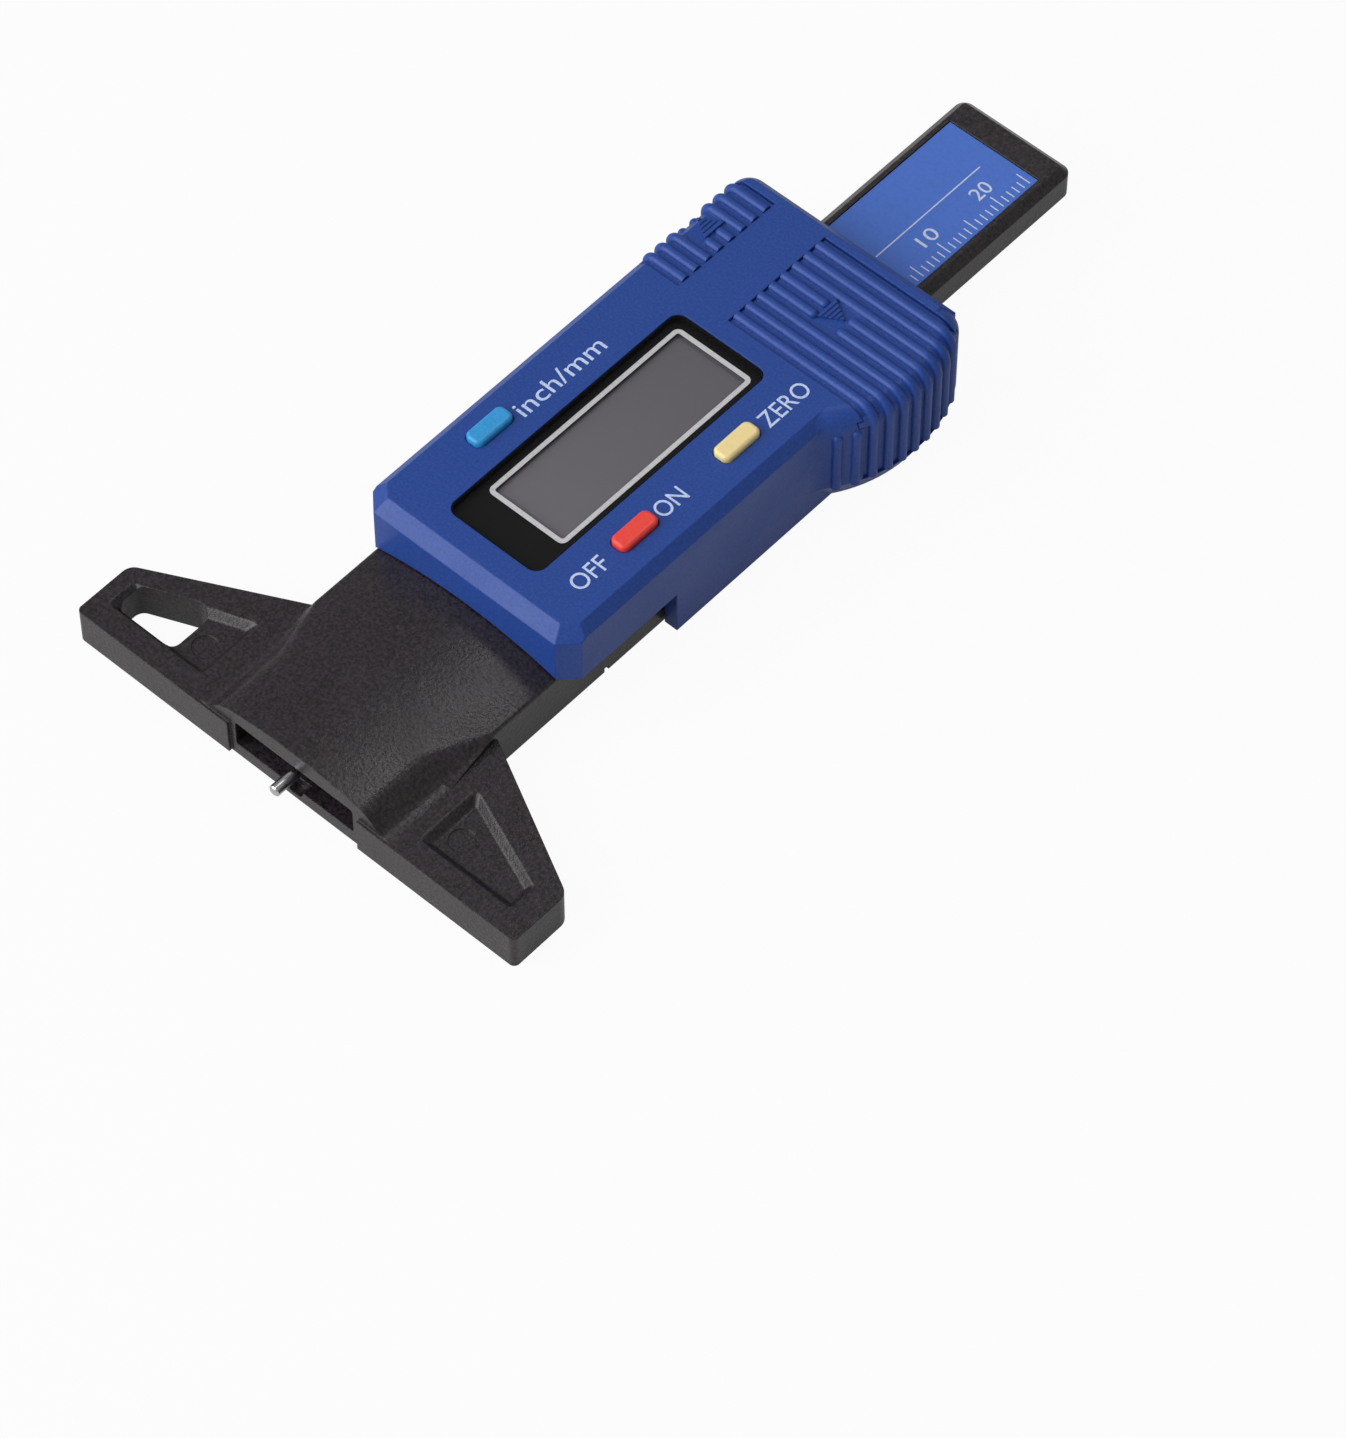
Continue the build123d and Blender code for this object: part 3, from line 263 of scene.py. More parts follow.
@dataclass(frozen=True)
class ClearWindow(Finish):
    """Polished clear plastic sheet, seen mostly by what lies behind it.

    Attributes:
        colour: sRGB hex of the faint body tint.
        roughness: Roughness of the polished face.
        haze: How much of the sheet's own surface is seen.
        haze_mm: Spacing of the faint wiping haze.
        duller: How far the roughness rises where the haze is strongest.
    """

    colour: str
    roughness: float
    haze: float
    haze_mm: float
    duller: float = 0.06

    def surface(self, tree: Tree, place: Socket) -> Node:
        """Lays the polish with its wiping haze.

        Args:
            tree: The material's node tree.
            place: The object's own coordinates.

        Returns:
            The shader that feeds the output.
        """
        wiping = add_node(
            tree, "ShaderNodeTexNoise", {"Scale": per_metre(self.haze_mm)}, {"Vector": place}
        )
        gloss = add_node(
            tree, "ShaderNodeMapRange",
            {"From Min": NOISE_LOW, "From Max": NOISE_HIGH,
             "To Min": self.roughness, "To Max": self.roughness + self.duller},
            {"Value": wiping.outputs["Fac"]},
        )
        return add_node(
            tree, "ShaderNodeBsdfPrincipled",
            {"Base Color": linear(self.colour), "IOR": ACRYLIC_IOR, "Alpha": self.haze},
            {"Roughness": gloss.outputs["Result"]},
        )


@dataclass(frozen=True)
class PrintedInk(Finish):
    """Screen or pad printed ink film.

    Attributes:
        colour: sRGB hex of the ink.
        thin_colour: sRGB hex where the film is thin.
        roughness: Roughness of the dry film.
        mesh_mm: Spacing of the marks that the print screen leaves.
        specular: Specular level, low where the film lies behind the window.
        unevenness: Strength of the film's finest marks.
        thin_level: Level of the noise below which the film is thin.
        full_level: Level above which it is full.
    """

    colour: str
    thin_colour: str
    roughness: float
    mesh_mm: float
    specular: float = 0.5
    unevenness: float = 0.7
    thin_level: float = 0.35
    full_level: float = 0.55

    def surface(self, tree: Tree, place: Socket) -> Node:
        """Lays the ink, thick and thin.

        Args:
            tree: The material's node tree.
            place: The object's own coordinates.

        Returns:
            The shader that feeds the output.
        """
        film = add_node(
            tree, "ShaderNodeTexNoise",
            {"Scale": per_metre(self.mesh_mm), "Roughness": self.unevenness},
            {"Vector": place},
        )
        cover = add_node(
            tree, "ShaderNodeMapRange",
            {"From Min": self.thin_level, "From Max": self.full_level},
            {"Value": film.outputs["Fac"]},
        )
        tint = add_node(
            tree, "ShaderNodeMix",
            {"data_type": "RGBA", MIX_A: linear(self.thin_colour), MIX_B: linear(self.colour)},
            {MIX_FACTOR: cover.outputs["Result"]},
        )
        return add_node(
            tree, "ShaderNodeBsdfPrincipled",
            {"IOR": PLASTIC_IOR, "Roughness": self.roughness, "Specular IOR Level": self.specular},
            {"Base Color": tint.outputs[MIX_RESULT]},
        )


@dataclass(frozen=True)
class Metal(Finish):
    """Bare or plated metal with the marks of how its surface was made.

    Attributes:
        colour: sRGB hex of the metal.
        roughness: Typical roughness of the surface.
        line_mm: Spacing of the grinding, rolling or plating marks.
        stretch: How many times longer a mark is along Y than across.
        depth_mm: Depth of the marks.
        glossier: How far the roughness falls at the glossiest.
        duller: How far it rises at the dullest.
        relief: Share of the marks' depth that shades them.
    """

    colour: str
    roughness: float
    line_mm: float
    stretch: float = 12.0
    depth_mm: float = 0.01
    glossier: float = 0.06
    duller: float = 0.08
    relief: float = 0.3

    def surface(self, tree: Tree, place: Socket) -> Node:
        """Lays the marks and the changes of gloss that they make.

        Args:
            tree: The material's node tree.
            place: The object's own coordinates.

        Returns:
            The shader that feeds the output.
        """
        along = add_node(
            tree, "ShaderNodeMapping", {"Scale": (1.0, 1.0 / self.stretch, 1.0)},
            {"Vector": place},
        )
        marks = add_node(
            tree, "ShaderNodeTexNoise",
            {"Scale": per_metre(self.line_mm), "Detail": GRAIN_LAYERS,
             "Roughness": GRAIN_ROUGHNESS},
            {"Vector": along.outputs["Vector"]},
        )
        gloss = add_node(
            tree, "ShaderNodeMapRange",
            {"From Min": NOISE_LOW, "From Max": NOISE_HIGH,
             "To Min": self.roughness - self.glossier, "To Max": self.roughness + self.duller},
            {"Value": marks.outputs["Fac"]},
        )
        relief = add_node(
            tree, "ShaderNodeBump",
            {"Strength": self.relief, "Distance": self.depth_mm * MM},
            {"Height": marks.outputs["Fac"]},
        )
        return add_node(
            tree, "ShaderNodeBsdfPrincipled",
            {"Base Color": linear(self.colour), "Metallic": 1.0},
            {"Roughness": gloss.outputs["Result"], "Normal": relief.outputs["Normal"]},
        )


@dataclass(frozen=True)
class Laminate(Finish):
    """Glass-epoxy board under solder mask, with etched tracks.

    Attributes:
        mask_colour: sRGB hex of the solder mask on bare board.
        track_colour: sRGB hex of the mask over copper.
        track_mm: Spacing of the tracks.
        track_share: Width of a track as a share of that spacing.
        run: Length of a track between turns, in spacings.
        stagger: Shift of each next row of tracks, as a share of a run.
        weave_mm: Spacing of the glass weave under the mask.
        weave_depth_mm: Height of the weave.
        relief: Share of the weave's height that shades it.
        roughness: Roughness of the mask.
    """

    mask_colour: str
    track_colour: str
    track_mm: float
    track_share: float = 0.28
    run: float = 7.0
    stagger: float = 0.37
    weave_mm: float = 0.4
    weave_depth_mm: float = 0.02
    relief: float = 0.2
    roughness: float = 0.32

    def surface(self, tree: Tree, place: Socket) -> Node:
        """Lays the tracks and the weave.

        Args:
            tree: The material's node tree.
            place: The object's own coordinates.

        Returns:
            The shader that feeds the output.
        """
        pitch = self.track_mm * MM
        routes = add_node(
            tree, "ShaderNodeTexBrick",
            {"offset": self.stagger, "Scale": 1.0, "Mortar Size": pitch * self.track_share,
             "Brick Width": pitch * self.run, "Row Height": pitch,
             "Color1": linear(self.mask_colour), "Color2": linear(self.mask_colour),
             "Mortar": linear(self.track_colour)},
            {"Vector": place},
        )
        weave = add_node(
            tree, "ShaderNodeTexNoise", {"Scale": per_metre(self.weave_mm)}, {"Vector": place}
        )
        relief = add_node(
            tree, "ShaderNodeBump",
            {"Strength": self.relief, "Distance": self.weave_depth_mm * MM},
            {"Height": weave.outputs["Fac"]},
        )
        return add_node(
            tree, "ShaderNodeBsdfPrincipled",
            {"IOR": PLASTIC_IOR, "Roughness": self.roughness},
            {"Base Color": routes.outputs["Color"], "Normal": relief.outputs["Normal"]},
        )


@dataclass(frozen=True)
class DisplayGlass(Finish):
    """Liquid crystal cell under a matt polariser.

    Attributes:
        colour: sRGB hex of the blank display.
        deep_colour: sRGB hex where the display fades towards its far end.
        fade_start_mm: Where along Y it starts to fade.
        fade_mm: Length along Y over which it fades.
        roughness: Roughness of the polariser.
    """

    colour: str
    deep_colour: str
    fade_start_mm: float
    fade_mm: float
    roughness: float = 0.35

    def surface(self, tree: Tree, place: Socket) -> Node:
        """Lays the grey that deepens towards the far end.

        Args:
            tree: The material's node tree.
            place: The object's own coordinates.

        Returns:
            The shader that feeds the output.
        """
        sides = add_node(tree, "ShaderNodeSeparateXYZ", links={0: place})
        fade = add_node(
            tree, "ShaderNodeMapRange",
            {"From Min": self.fade_start_mm * MM,
             "From Max": (self.fade_start_mm + self.fade_mm) * MM},
            {"Value": sides.outputs["Y"]},
        )
        tint = add_node(
            tree, "ShaderNodeMix",
            {"data_type": "RGBA", MIX_A: linear(self.colour), MIX_B: linear(self.deep_colour)},
            {MIX_FACTOR: fade.outputs["Result"]},
        )
        return add_node(
            tree, "ShaderNodeBsdfPrincipled",
            {"IOR": PLASTIC_IOR, "Roughness": self.roughness},
            {"Base Color": tint.outputs[MIX_RESULT]},
        )


@dataclass(frozen=True)
class StripedRubber(Finish):
    """Silicone rubber with carbon-loaded layers, as cut for a display connector.

    Attributes:
        rubber_colour: sRGB hex of the insulating layers.
        carbon_colour: sRGB hex of the conducting layers.
        pitch_mm: Spacing of the layers.
        roughness: Roughness of the cut rubber.
    """

    rubber_colour: str
    carbon_colour: str
    pitch_mm: float
    roughness: float = 0.6

    def surface(self, tree: Tree, place: Socket) -> Node:
        """Lays the layers.

        Args:
            tree: The material's node tree.
            place: The object's own coordinates.

        Returns:
            The shader that feeds the output.
        """
        layers = add_node(
            tree, "ShaderNodeTexWave",
            {"wave_type": "BANDS", "bands_direction": "Y",
             "Scale": per_metre(self.pitch_mm) * math.tau / WAVE_RADIANS},
            {"Vector": place},
        )
        tint = add_node(
            tree, "ShaderNodeMix",
            {"data_type": "RGBA", MIX_A: linear(self.rubber_colour),
             MIX_B: linear(self.carbon_colour)},
            {MIX_FACTOR: layers.outputs["Fac"]},
        )
        return add_node(
            tree, "ShaderNodeBsdfPrincipled",
            {"IOR": SILICONE_IOR, "Roughness": self.roughness},
            {"Base Color": tint.outputs[MIX_RESULT]},
        )


@dataclass(frozen=True)
class PaintedBoard(Finish):
    """Matt painted board that glows towards white where it is seen straight or mirrored.

    Attributes:
        colour: sRGB hex of the paint.
        straight_glow: Share of the glow for the camera and through clear plastic.
        mirrored_glow: Share of the glow in reflections.
        mottling_mm: Spacing of the roller's faint mottling.
        mottling_layers: Layers of that mottling, each finer than the last.
        roughness: Roughness of the paint.
        duller: How far the roughness rises with the mottling.
        specular: Specular level of the paint.
    """

    colour: str
    straight_glow: float
    mirrored_glow: float
    mottling_mm: float
    mottling_layers: float = 1.0
    roughness: float = 0.75
    duller: float = 0.1
    specular: float = 0.2

    def surface(self, tree: Tree, place: Socket) -> Node:
        """Lays the paint and its glow.

        Args:
            tree: The material's node tree.
            place: The object's own coordinates.

        Returns:
            The shader that feeds the output.
        """
        mottling = add_node(
            tree, "ShaderNodeTexNoise",
            {"Scale": per_metre(self.mottling_mm), "Detail": self.mottling_layers},
            {"Vector": place},
        )
        gloss = add_node(
            tree, "ShaderNodeMapRange",
            {"To Min": self.roughness, "To Max": self.roughness + self.duller},
            {"Value": mottling.outputs["Fac"]},
        )
        paint = add_node(
            tree, "ShaderNodeBsdfPrincipled",
            {"Base Color": linear(self.colour), "Specular IOR Level": self.specular},
            {"Roughness": gloss.outputs["Result"]},
        )
        glow = add_node(tree, "ShaderNodeEmission", {"Color": WHITE, "Strength": 1.0})
        ray, straight = straight_rays(tree)
        direct = add_node(
            tree, "ShaderNodeMath", {"operation": "MULTIPLY", 1: self.straight_glow},
            {0: straight},
        )
        share = add_node(
            tree, "ShaderNodeMath", {"operation": "MULTIPLY_ADD", 1: self.mirrored_glow},
            {0: ray.outputs["Is Glossy Ray"], 2: direct.outputs[0]},
        )
        return add_node(
            tree, "ShaderNodeMixShader",
            links={0: share.outputs[0], 1: paint.outputs[0], 2: glow.outputs[0]},
        )


def acetal(name: str, colour: str, worn_colour: str) -> MouldedPlastic:
    """Gives acetal moulded in a polished tool.

    Args:
        name: Common name of the material and how its surface was made.
        colour: sRGB hex of the plastic.
        worn_colour: sRGB hex of the painted glint on the grain's tips, where they would catch the
            light.

    Returns:
        The finish.
    """
    return MouldedPlastic(
        name, colour, worn_colour, roughness=0.35, grain_mm=0.4, grain_depth_mm=0.008, edge_mm=0.12
    )


# Glass-filled ABS moulded in a spark-eroded tool: deep black with a fine grain whose sparkle is a
# painted glint on its tips.
BLACK_ABS = MouldedPlastic(
    "black_abs_spark_grained", "171416", "3A3238",
    roughness=0.28, grain_mm=0.42, grain_depth_mm=0.09, edge_mm=0.22,
)
# ABS moulded in a finely grained tool: an even satin blue.
BLUE_ABS = MouldedPlastic(
    "blue_abs_satin_moulded", "1D4192", "274EA0",
    roughness=0.42, grain_mm=0.35, grain_depth_mm=0.02, edge_mm=0.25, specular=0.42,
)
# Acetal from polished tools: buttons in clear colours with a soft sheen.
LIGHT_BLUE_ACETAL = acetal("light_blue_acetal_moulded", "2C98DA", "3EA4E2")
YELLOW_ACETAL = acetal("yellow_acetal_moulded", "FAE29C", "FCE8AA")
RED_ACETAL = acetal("red_acetal_moulded", "F8443A", "FA5046")
# Natural black ABS of inner frames, straight from a plain tool: flat black.
INNER_ABS = MouldedPlastic(
    "black_abs_plain_moulded", "222223", "2E2E30",
    roughness=0.5, grain_mm=0.5, grain_depth_mm=0.01,
)
# Epoxy moulding compound of chips: dull black with a fine matt grain.
CHIP_EPOXY = MouldedPlastic(
    "epoxy_compound_transfer_moulded", "1C1C1D", "2A2A2B",
    roughness=0.6, grain_mm=0.15, grain_depth_mm=0.01,
)
# Acrylic sheet with a polished face: clear, with a crisp reflection.
CLEAR_ACRYLIC = ClearWindow(
    "clear_acrylic_polished", "16161A", roughness=0.06, haze=0.08, haze_mm=12.0
)
# Back print of the window: an even black that lies behind the polish.
BLACK_BACK_PRINT = PrintedInk(
    "black_screen_ink_back_printed", "101012", "141416", roughness=0.5, mesh_mm=0.5, specular=0.2
)
# Silver-grey ink of the line round the display: a pale, even grey.
SILVER_LINE_PRINT = PrintedInk(
    "silver_screen_ink_back_printed", "E2E1E4", "D6D6DA", roughness=0.4, mesh_mm=0.5
)
# Bluish white pad print of the legends: a thin film that lets some blue through.
WHITE_PAD_PRINT = PrintedInk(
    "white_pad_ink", "CFDFFE", "B3C5F2", roughness=0.5, mesh_mm=0.35
)
# Vinyl film printed solid blue, under a satin overlay: lighter than the shell.
BLUE_LABEL_FILM = PrintedInk(
    "blue_vinyl_film_printed", "4C76D2", "4972CC", roughness=0.36, mesh_mm=0.6
)
# White ink on the label film: crisp and slightly blue.
WHITE_LABEL_PRINT = PrintedInk(
    "white_screen_ink_printed", "D5DEF2", "C2CDEA", roughness=0.42, mesh_mm=0.3
)
# Blank display: warm grey under a matt polariser.
BLANK_DISPLAY = DisplayGlass(
    "lcd_cell_matt_polariser", "817D83", "625F64", fade_start_mm=40.0, fade_mm=70.0
)
# Probe ground to size: bright, with fine lines along it.
GROUND_STEEL = Metal("carbon_steel_ground", "D2D1D3", roughness=0.24, line_mm=0.12)
# Cold-rolled spring steel: grey with lines along the strip.
ROLLED_STEEL = Metal("spring_steel_rolled", "A9ABAD", roughness=0.32, line_mm=0.2)
# Zinc-plated screws: a cool grey without direction.
ZINC_PLATE = Metal("steel_zinc_plated", "B4B8BC", roughness=0.36, line_mm=0.25, stretch=1.0)
# Nickel-plated can of the cell: a warm, brighter grey.
NICKEL_PLATE = Metal("steel_nickel_plated", "C6C4BE", roughness=0.22, line_mm=0.3, stretch=1.0)
# Gold flash on the contact pads: a thin warm yellow.
GOLD_FLASH = Metal("copper_gold_flashed", "D6B25E", roughness=0.28, line_mm=0.25, stretch=1.0)
# Board under green solder mask: tracks show as lighter green.
GREEN_BOARD = Laminate("glass_epoxy_green_mask", "1E5A34", "2F7A48", track_mm=0.9)
# Connector rubber with carbon layers, drawn coarser than the real 0.18 mm so that it shows.
CONNECTOR_RUBBER = StripedRubber("silicone_rubber_layered", "C9C2C4", "1B1B1B", pitch_mm=0.4)
# Board painted matt: a plain white that still takes a shadow.
STUDIO_BOARD = PaintedBoard(
    "painted_board_matt", "C8C8C8", straight_glow=0.95, mirrored_glow=0.3, mottling_mm=60.0
)


@dataclass(frozen=True)
class Shape:
    """A mesh.

    Attributes:
        points: Its corners in metres.
        faces: Its faces by corner number.
    """

    points: list[Point]
    faces: list[Face]


def stand(name: str, data: bpy.types.ID) -> bpy.types.Object:
    """Makes an object of its data and puts it in the scene.

    Args:
        name: Name of the object.
        data: Its mesh, curve, lamp or camera.

    Returns:
        The new object.
    """
    made = bpy.data.objects.new(name, data)
    bpy.context.scene.collection.objects.link(made)
    return made


def mesh_object(name: str, shape: Shape, material: bpy.types.Material) -> bpy.types.Object:
    """Makes a mesh object in one material.

    Args:
        name: Name of the object and its mesh.
        shape: Its corners and faces.
        material: Its material.

    Returns:
        The new object.
    """
    mesh = bpy.data.meshes.new(name)
    mesh.from_pydata(shape.points, [], shape.faces)
    mesh.update()
    mesh.materials.append(material)
    return stand(name, mesh)


@dataclass(frozen=True)
class RoundedPlan:
    """A rounded rectangle in plan, in millimetres.

    Attributes:
        x: Its middle across the gauge.
        y: Its middle along the gauge.
        width: Its size across.
        length: Its size along.
        radius: Its corner radius.
    """

    x: float
    y: float
    width: float
    length: float
    radius: float

    def outline(self, steps: int = 8) -> list[tuple[float, float]]:
        """Walks round the outline, anticlockwise.

        Args:
            steps: Edges in each corner.

        Returns:
            The outline's points in millimetres.
        """
        points = []
        half_w = self.width / 2 - self.radius
        half_l = self.length / 2 - self.radius
        corners = ((half_w, half_l), (-half_w, half_l), (-half_w, -half_l), (half_w, -half_l))
        for quarter, (cx, cy) in enumerate(corners):
            for step in range(steps + 1):
                turn = math.pi / 2 * (quarter + step / steps)
                points.append((
                    self.x + cx + self.radius * math.cos(turn),
                    self.y + cy + self.radius * math.sin(turn),
                ))
        return points


def ring(outer: RoundedPlan, inner: RoundedPlan, floor: float, top: float) -> Shape:
    """Makes a flat ring between two rounded outlines.

    Args:
        outer: The ring's outer outline.
        inner: The ring's inner outline.
        floor: Height of its underside in millimetres.
        top: Height of its upper face in millimetres.

    Returns:
        The ring.
    """
    rows = [(outer.outline(), floor), (outer.outline(), top), (inner.outline(), top),
            (inner.outline(), floor)]
    count = len(rows[0][0])
    points = [(x * MM, y * MM, z * MM) for row, z in rows for x, y in row]
    faces = []
    for row in range(len(rows)):
        here = row * count
        there = ((row + 1) % len(rows)) * count
        for index in range(count):
            following = (index + 1) % count
            faces.append((here + index, here + following, there + following, there + index))
    return Shape(points, faces)


def bars(
    middles: Iterable[tuple[float, float]], sizes: Iterable[tuple[float, float]],
    floor: float, top: float,
) -> Shape:
    """Makes thin printed bars.

    Args:
        middles: Each bar's middle across and along the gauge, in millimetres.
        sizes: Each bar's size across and along.
        floor: Height of their underside.
        top: Height of their upper face.

    Returns:
        All bars in one mesh.
    """
    box_faces = (
        (3, 2, 1, 0), (4, 5, 6, 7), (0, 1, 5, 4), (1, 2, 6, 5), (2, 3, 7, 6), (3, 0, 4, 7)
    )
    points: list[Point] = []
    faces: list[Face] = []
    for (x, y), (width, length) in zip(middles, sizes):
        first = len(points)
        low_x, high_x = x - width / 2, x + width / 2
        low_y, high_y = y - length / 2, y + length / 2
        plan = ((low_x, low_y), (high_x, low_y), (high_x, high_y), (low_x, high_y))
        points += [(px * MM, py * MM, z * MM) for z in (floor, top) for px, py in plan]
        faces += [tuple(corner + first for corner in face) for face in box_faces]
    return Shape(points, faces)


@dataclass(frozen=True)
class Legend:
    """A printed word or number that reads along +Y, with its tops towards -X.

    Attributes:
        text: What it says.
        base_x: x of its baseline in millimetres.
        top_x: x of its capitals' tops.
        start_y: y where it starts.
        end_y: y where it ends.
        height: Height of the face that it is printed on.
        film: Thickness of the ink over that face.
        boldness: How far the strokes are widened, as a share of the type's size.
        curve_steps: Points in each curved stroke of a letter.
    """

    text: str
    base_x: float
    top_x: float
    start_y: float
    end_y: float
    height: float
    film: float = 0.012
    boldness: float = 0.002
    curve_steps: int = 6

    def shape(self) -> Shape:
        """Sets the text in the plain face and fits it to its box.

        Returns:
            The text as a mesh.
        """
        curve = bpy.data.curves.new("legend_outline", "FONT")
        curve.body = self.text
        curve.extrude = PRINT_ROOT
        curve.resolution_u = self.curve_steps
        curve.offset = self.boldness
        setter = stand("legend_outline", curve)
        bpy.context.view_layer.update()
        flat = bpy.data.meshes.new_from_object(
            setter.evaluated_get(bpy.context.evaluated_depsgraph_get())
        )
        corners = [vertex.co.copy() for vertex in flat.vertices]
        faces = [tuple(face.vertices) for face in flat.polygons]
        bpy.data.objects.remove(setter)
        bpy.data.curves.remove(curve)
        bpy.data.meshes.remove(flat)
        low_x = min(point.x for point in corners)
        high_x = max(point.x for point in corners)
        low_y = min(point.y for point in corners)
        high_y = max(point.y for point in corners)
        points = []
        for point in corners:
            along = (point.x - low_x) / (high_x - low_x)
            up = (point.y - low_y) / (high_y - low_y)
            layer = self.film if point.z > 0 else -PRINT_ROOT
            points.append((
                (self.base_x + (self.top_x - self.base_x) * up) * MM,
                (self.start_y + (self.end_y - self.start_y) * along) * MM,
                (self.height + layer) * MM,
            ))
        return Shape(points, faces)


@dataclass
class Workshop:
    """Keeps the materials and hands pieces to the frame.

    Attributes:
        materials: The materials built so far, by name.
    """

    materials: dict[str, bpy.types.Material] = field(default_factory=dict)

    def material(self, finish: Finish) -> bpy.types.Material:
        """Gives a finish's material, built once.

        Args:
            finish: The finish.

        Returns:
            Its material.
        """
        if finish.name not in self.materials:
            self.materials[finish.name] = finish.material()
        return self.materials[finish.name]

    def dress(self, node: str, finish: Finish) -> None:
        """Gives a CAD node a finish.

        Args:
            node: Name of the CAD node.
            finish: The finish that it gets.
        """
        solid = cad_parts[node]
        material = self.material(finish)
        if not solid.material_slots:
            solid.data.materials.append(material)
        for slot in solid.material_slots:
            slot.material = material
        log.info("%s dressed in %s", node, finish.name)

    def piece(self, name: str, shape: Shape, finish: Finish, body: str) -> None:
        """Makes a mesh piece that rides on a body.

        Args:
            name: Name of the piece.
            shape: Its corners and faces.
            finish: Its finish.
            body: The CAD body that carries it.
        """
        made = mesh_object(name, shape, self.material(finish))
        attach(made, body)
        log.info("%s rides on %s", name, body)


@dataclass
class Assembly:
    """A sub-assembly of the gauge."""

    def finishes(self) -> dict[str, Finish]:
        """Gives the finish of each CAD node."""
        raise NotImplementedError

    def add_pieces(self, shop: Workshop) -> None:
        """Adds the pieces that the CAD doesn't have, where there are any."""

    def build(self, shop: Workshop) -> None:
        """Dresses the CAD nodes, then adds the pieces.

        Args:
            shop: Keeps the materials and takes the pieces.
        """
        for node, finish in self.finishes().items():
            shop.dress(node, finish)
        self.add_pieces(shop)


@dataclass
class MeasuringFrame(Assembly):
    """The black tee frame with its scale, label and label print.

    Attributes:
        label_top: Height of the label's face in millimetres.
        print_thickness: Thickness of the print over it.
        rule_x: x of the thin rule.
        rule_start: y where the rule starts.
        rule_end: y where it ends.
        rule_width: Its width.
        zero_y: y of the first tick.
        tick_pitch: Distance between ticks.
        tick_count: How many ticks there are.
        tick_width: Width of a tick.
        tick_edge_x: x of the ticks' common end.
        long_every: A tick of this count is long.
        long_tick: Length of a long tick.
        short_tick: Length of the others.
        numbers: Ticks that carry a number.
        number_height: Height of the digits.
        number_spread: Half a number's length as a share of its height.
        number_gap: Room between a long tick and its number.
    """

    label_top: float = 7.67
    print_thickness: float = 0.02
    rule_x: float = 0.4
    rule_start: float = 102.0
    rule_end: float = 121.5
    rule_width: float = 0.17
    zero_y: float = 98.6
    tick_pitch: float = 1.0
    tick_count: int = 26
    tick_width: float = 0.16
    tick_edge_x: float = 6.7
    long_every: int = 5
    long_tick: float = 2.2
    short_tick: float = 1.3
    numbers: tuple[int, ...] = (10, 20)
    number_height: float = 2.0
    number_spread: float = 0.72
    number_gap: float = 0.5

    def finishes(self) -> dict[str, Finish]:
        """Gives the finish of each CAD node.

        Returns:
            Each finish by the name of its node.
        """
        return {
            "tee_frame": BLACK_ABS,
            "scale_strip": GREEN_BOARD,
            "scale_label": BLUE_LABEL_FILM,
        }

    def add_pieces(self, shop: Workshop) -> None:
        """Prints the label: its rule, its millimetre ticks and its numbers.

        Args:
            shop: Keeps the materials and takes the pieces.
        """
        prints = {"label_rule": self.rule(), "label_ticks": self.ticks()}
        for value in self.numbers:
            prints[f"label_number_{value}"] = self.number(value).shape()
        for name, shape in prints.items():
            shop.piece(name, shape, WHITE_LABEL_PRINT, "frame")

    def printed(self, bar_list: list[tuple[tuple[float, float], tuple[float, float]]]) -> Shape:
        """Prints bars on the label.

        Args:
            bar_list: Each bar's middle and size, across and along.

        Returns:
            The bars in one mesh.
        """
        middles, sizes = zip(*bar_list)
        return bars(
            middles, sizes, self.label_top - PRINT_ROOT, self.label_top + self.print_thickness
        )

    def rule(self) -> Shape:
        """Draws the thin rule along the middle of the label."""
        middle = (self.rule_x, (self.rule_start + self.rule_end) / 2)
        return self.printed([(middle, (self.rule_width, self.rule_end - self.rule_start))])

    def ticks(self) -> Shape:
        """Draws the millimetre ticks along the label's edge.

        Returns:
            The ticks in one mesh.
        """
        drawn = []
        for index in range(self.tick_count):
            length = self.short_tick if index % self.long_every else self.long_tick
            middle = (self.tick_edge_x - length / 2, self.zero_y + index * self.tick_pitch)
            drawn.append((middle, (length, self.tick_width)))
        return self.printed(drawn)

    def number(self, value: int) -> Legend:
        """Sets the number at the end of its tick.

        Args:
            value: The number, which is also its tick's.

        Returns:
            The number with its box.
        """
        base_x = self.tick_edge_x - self.long_tick - self.number_gap
        middle = self.zero_y + value * self.tick_pitch
        half = self.number_height * self.number_spread
        return Legend(
            str(value), base_x, base_x - self.number_height, middle - half, middle + half,
            self.label_top,
        )


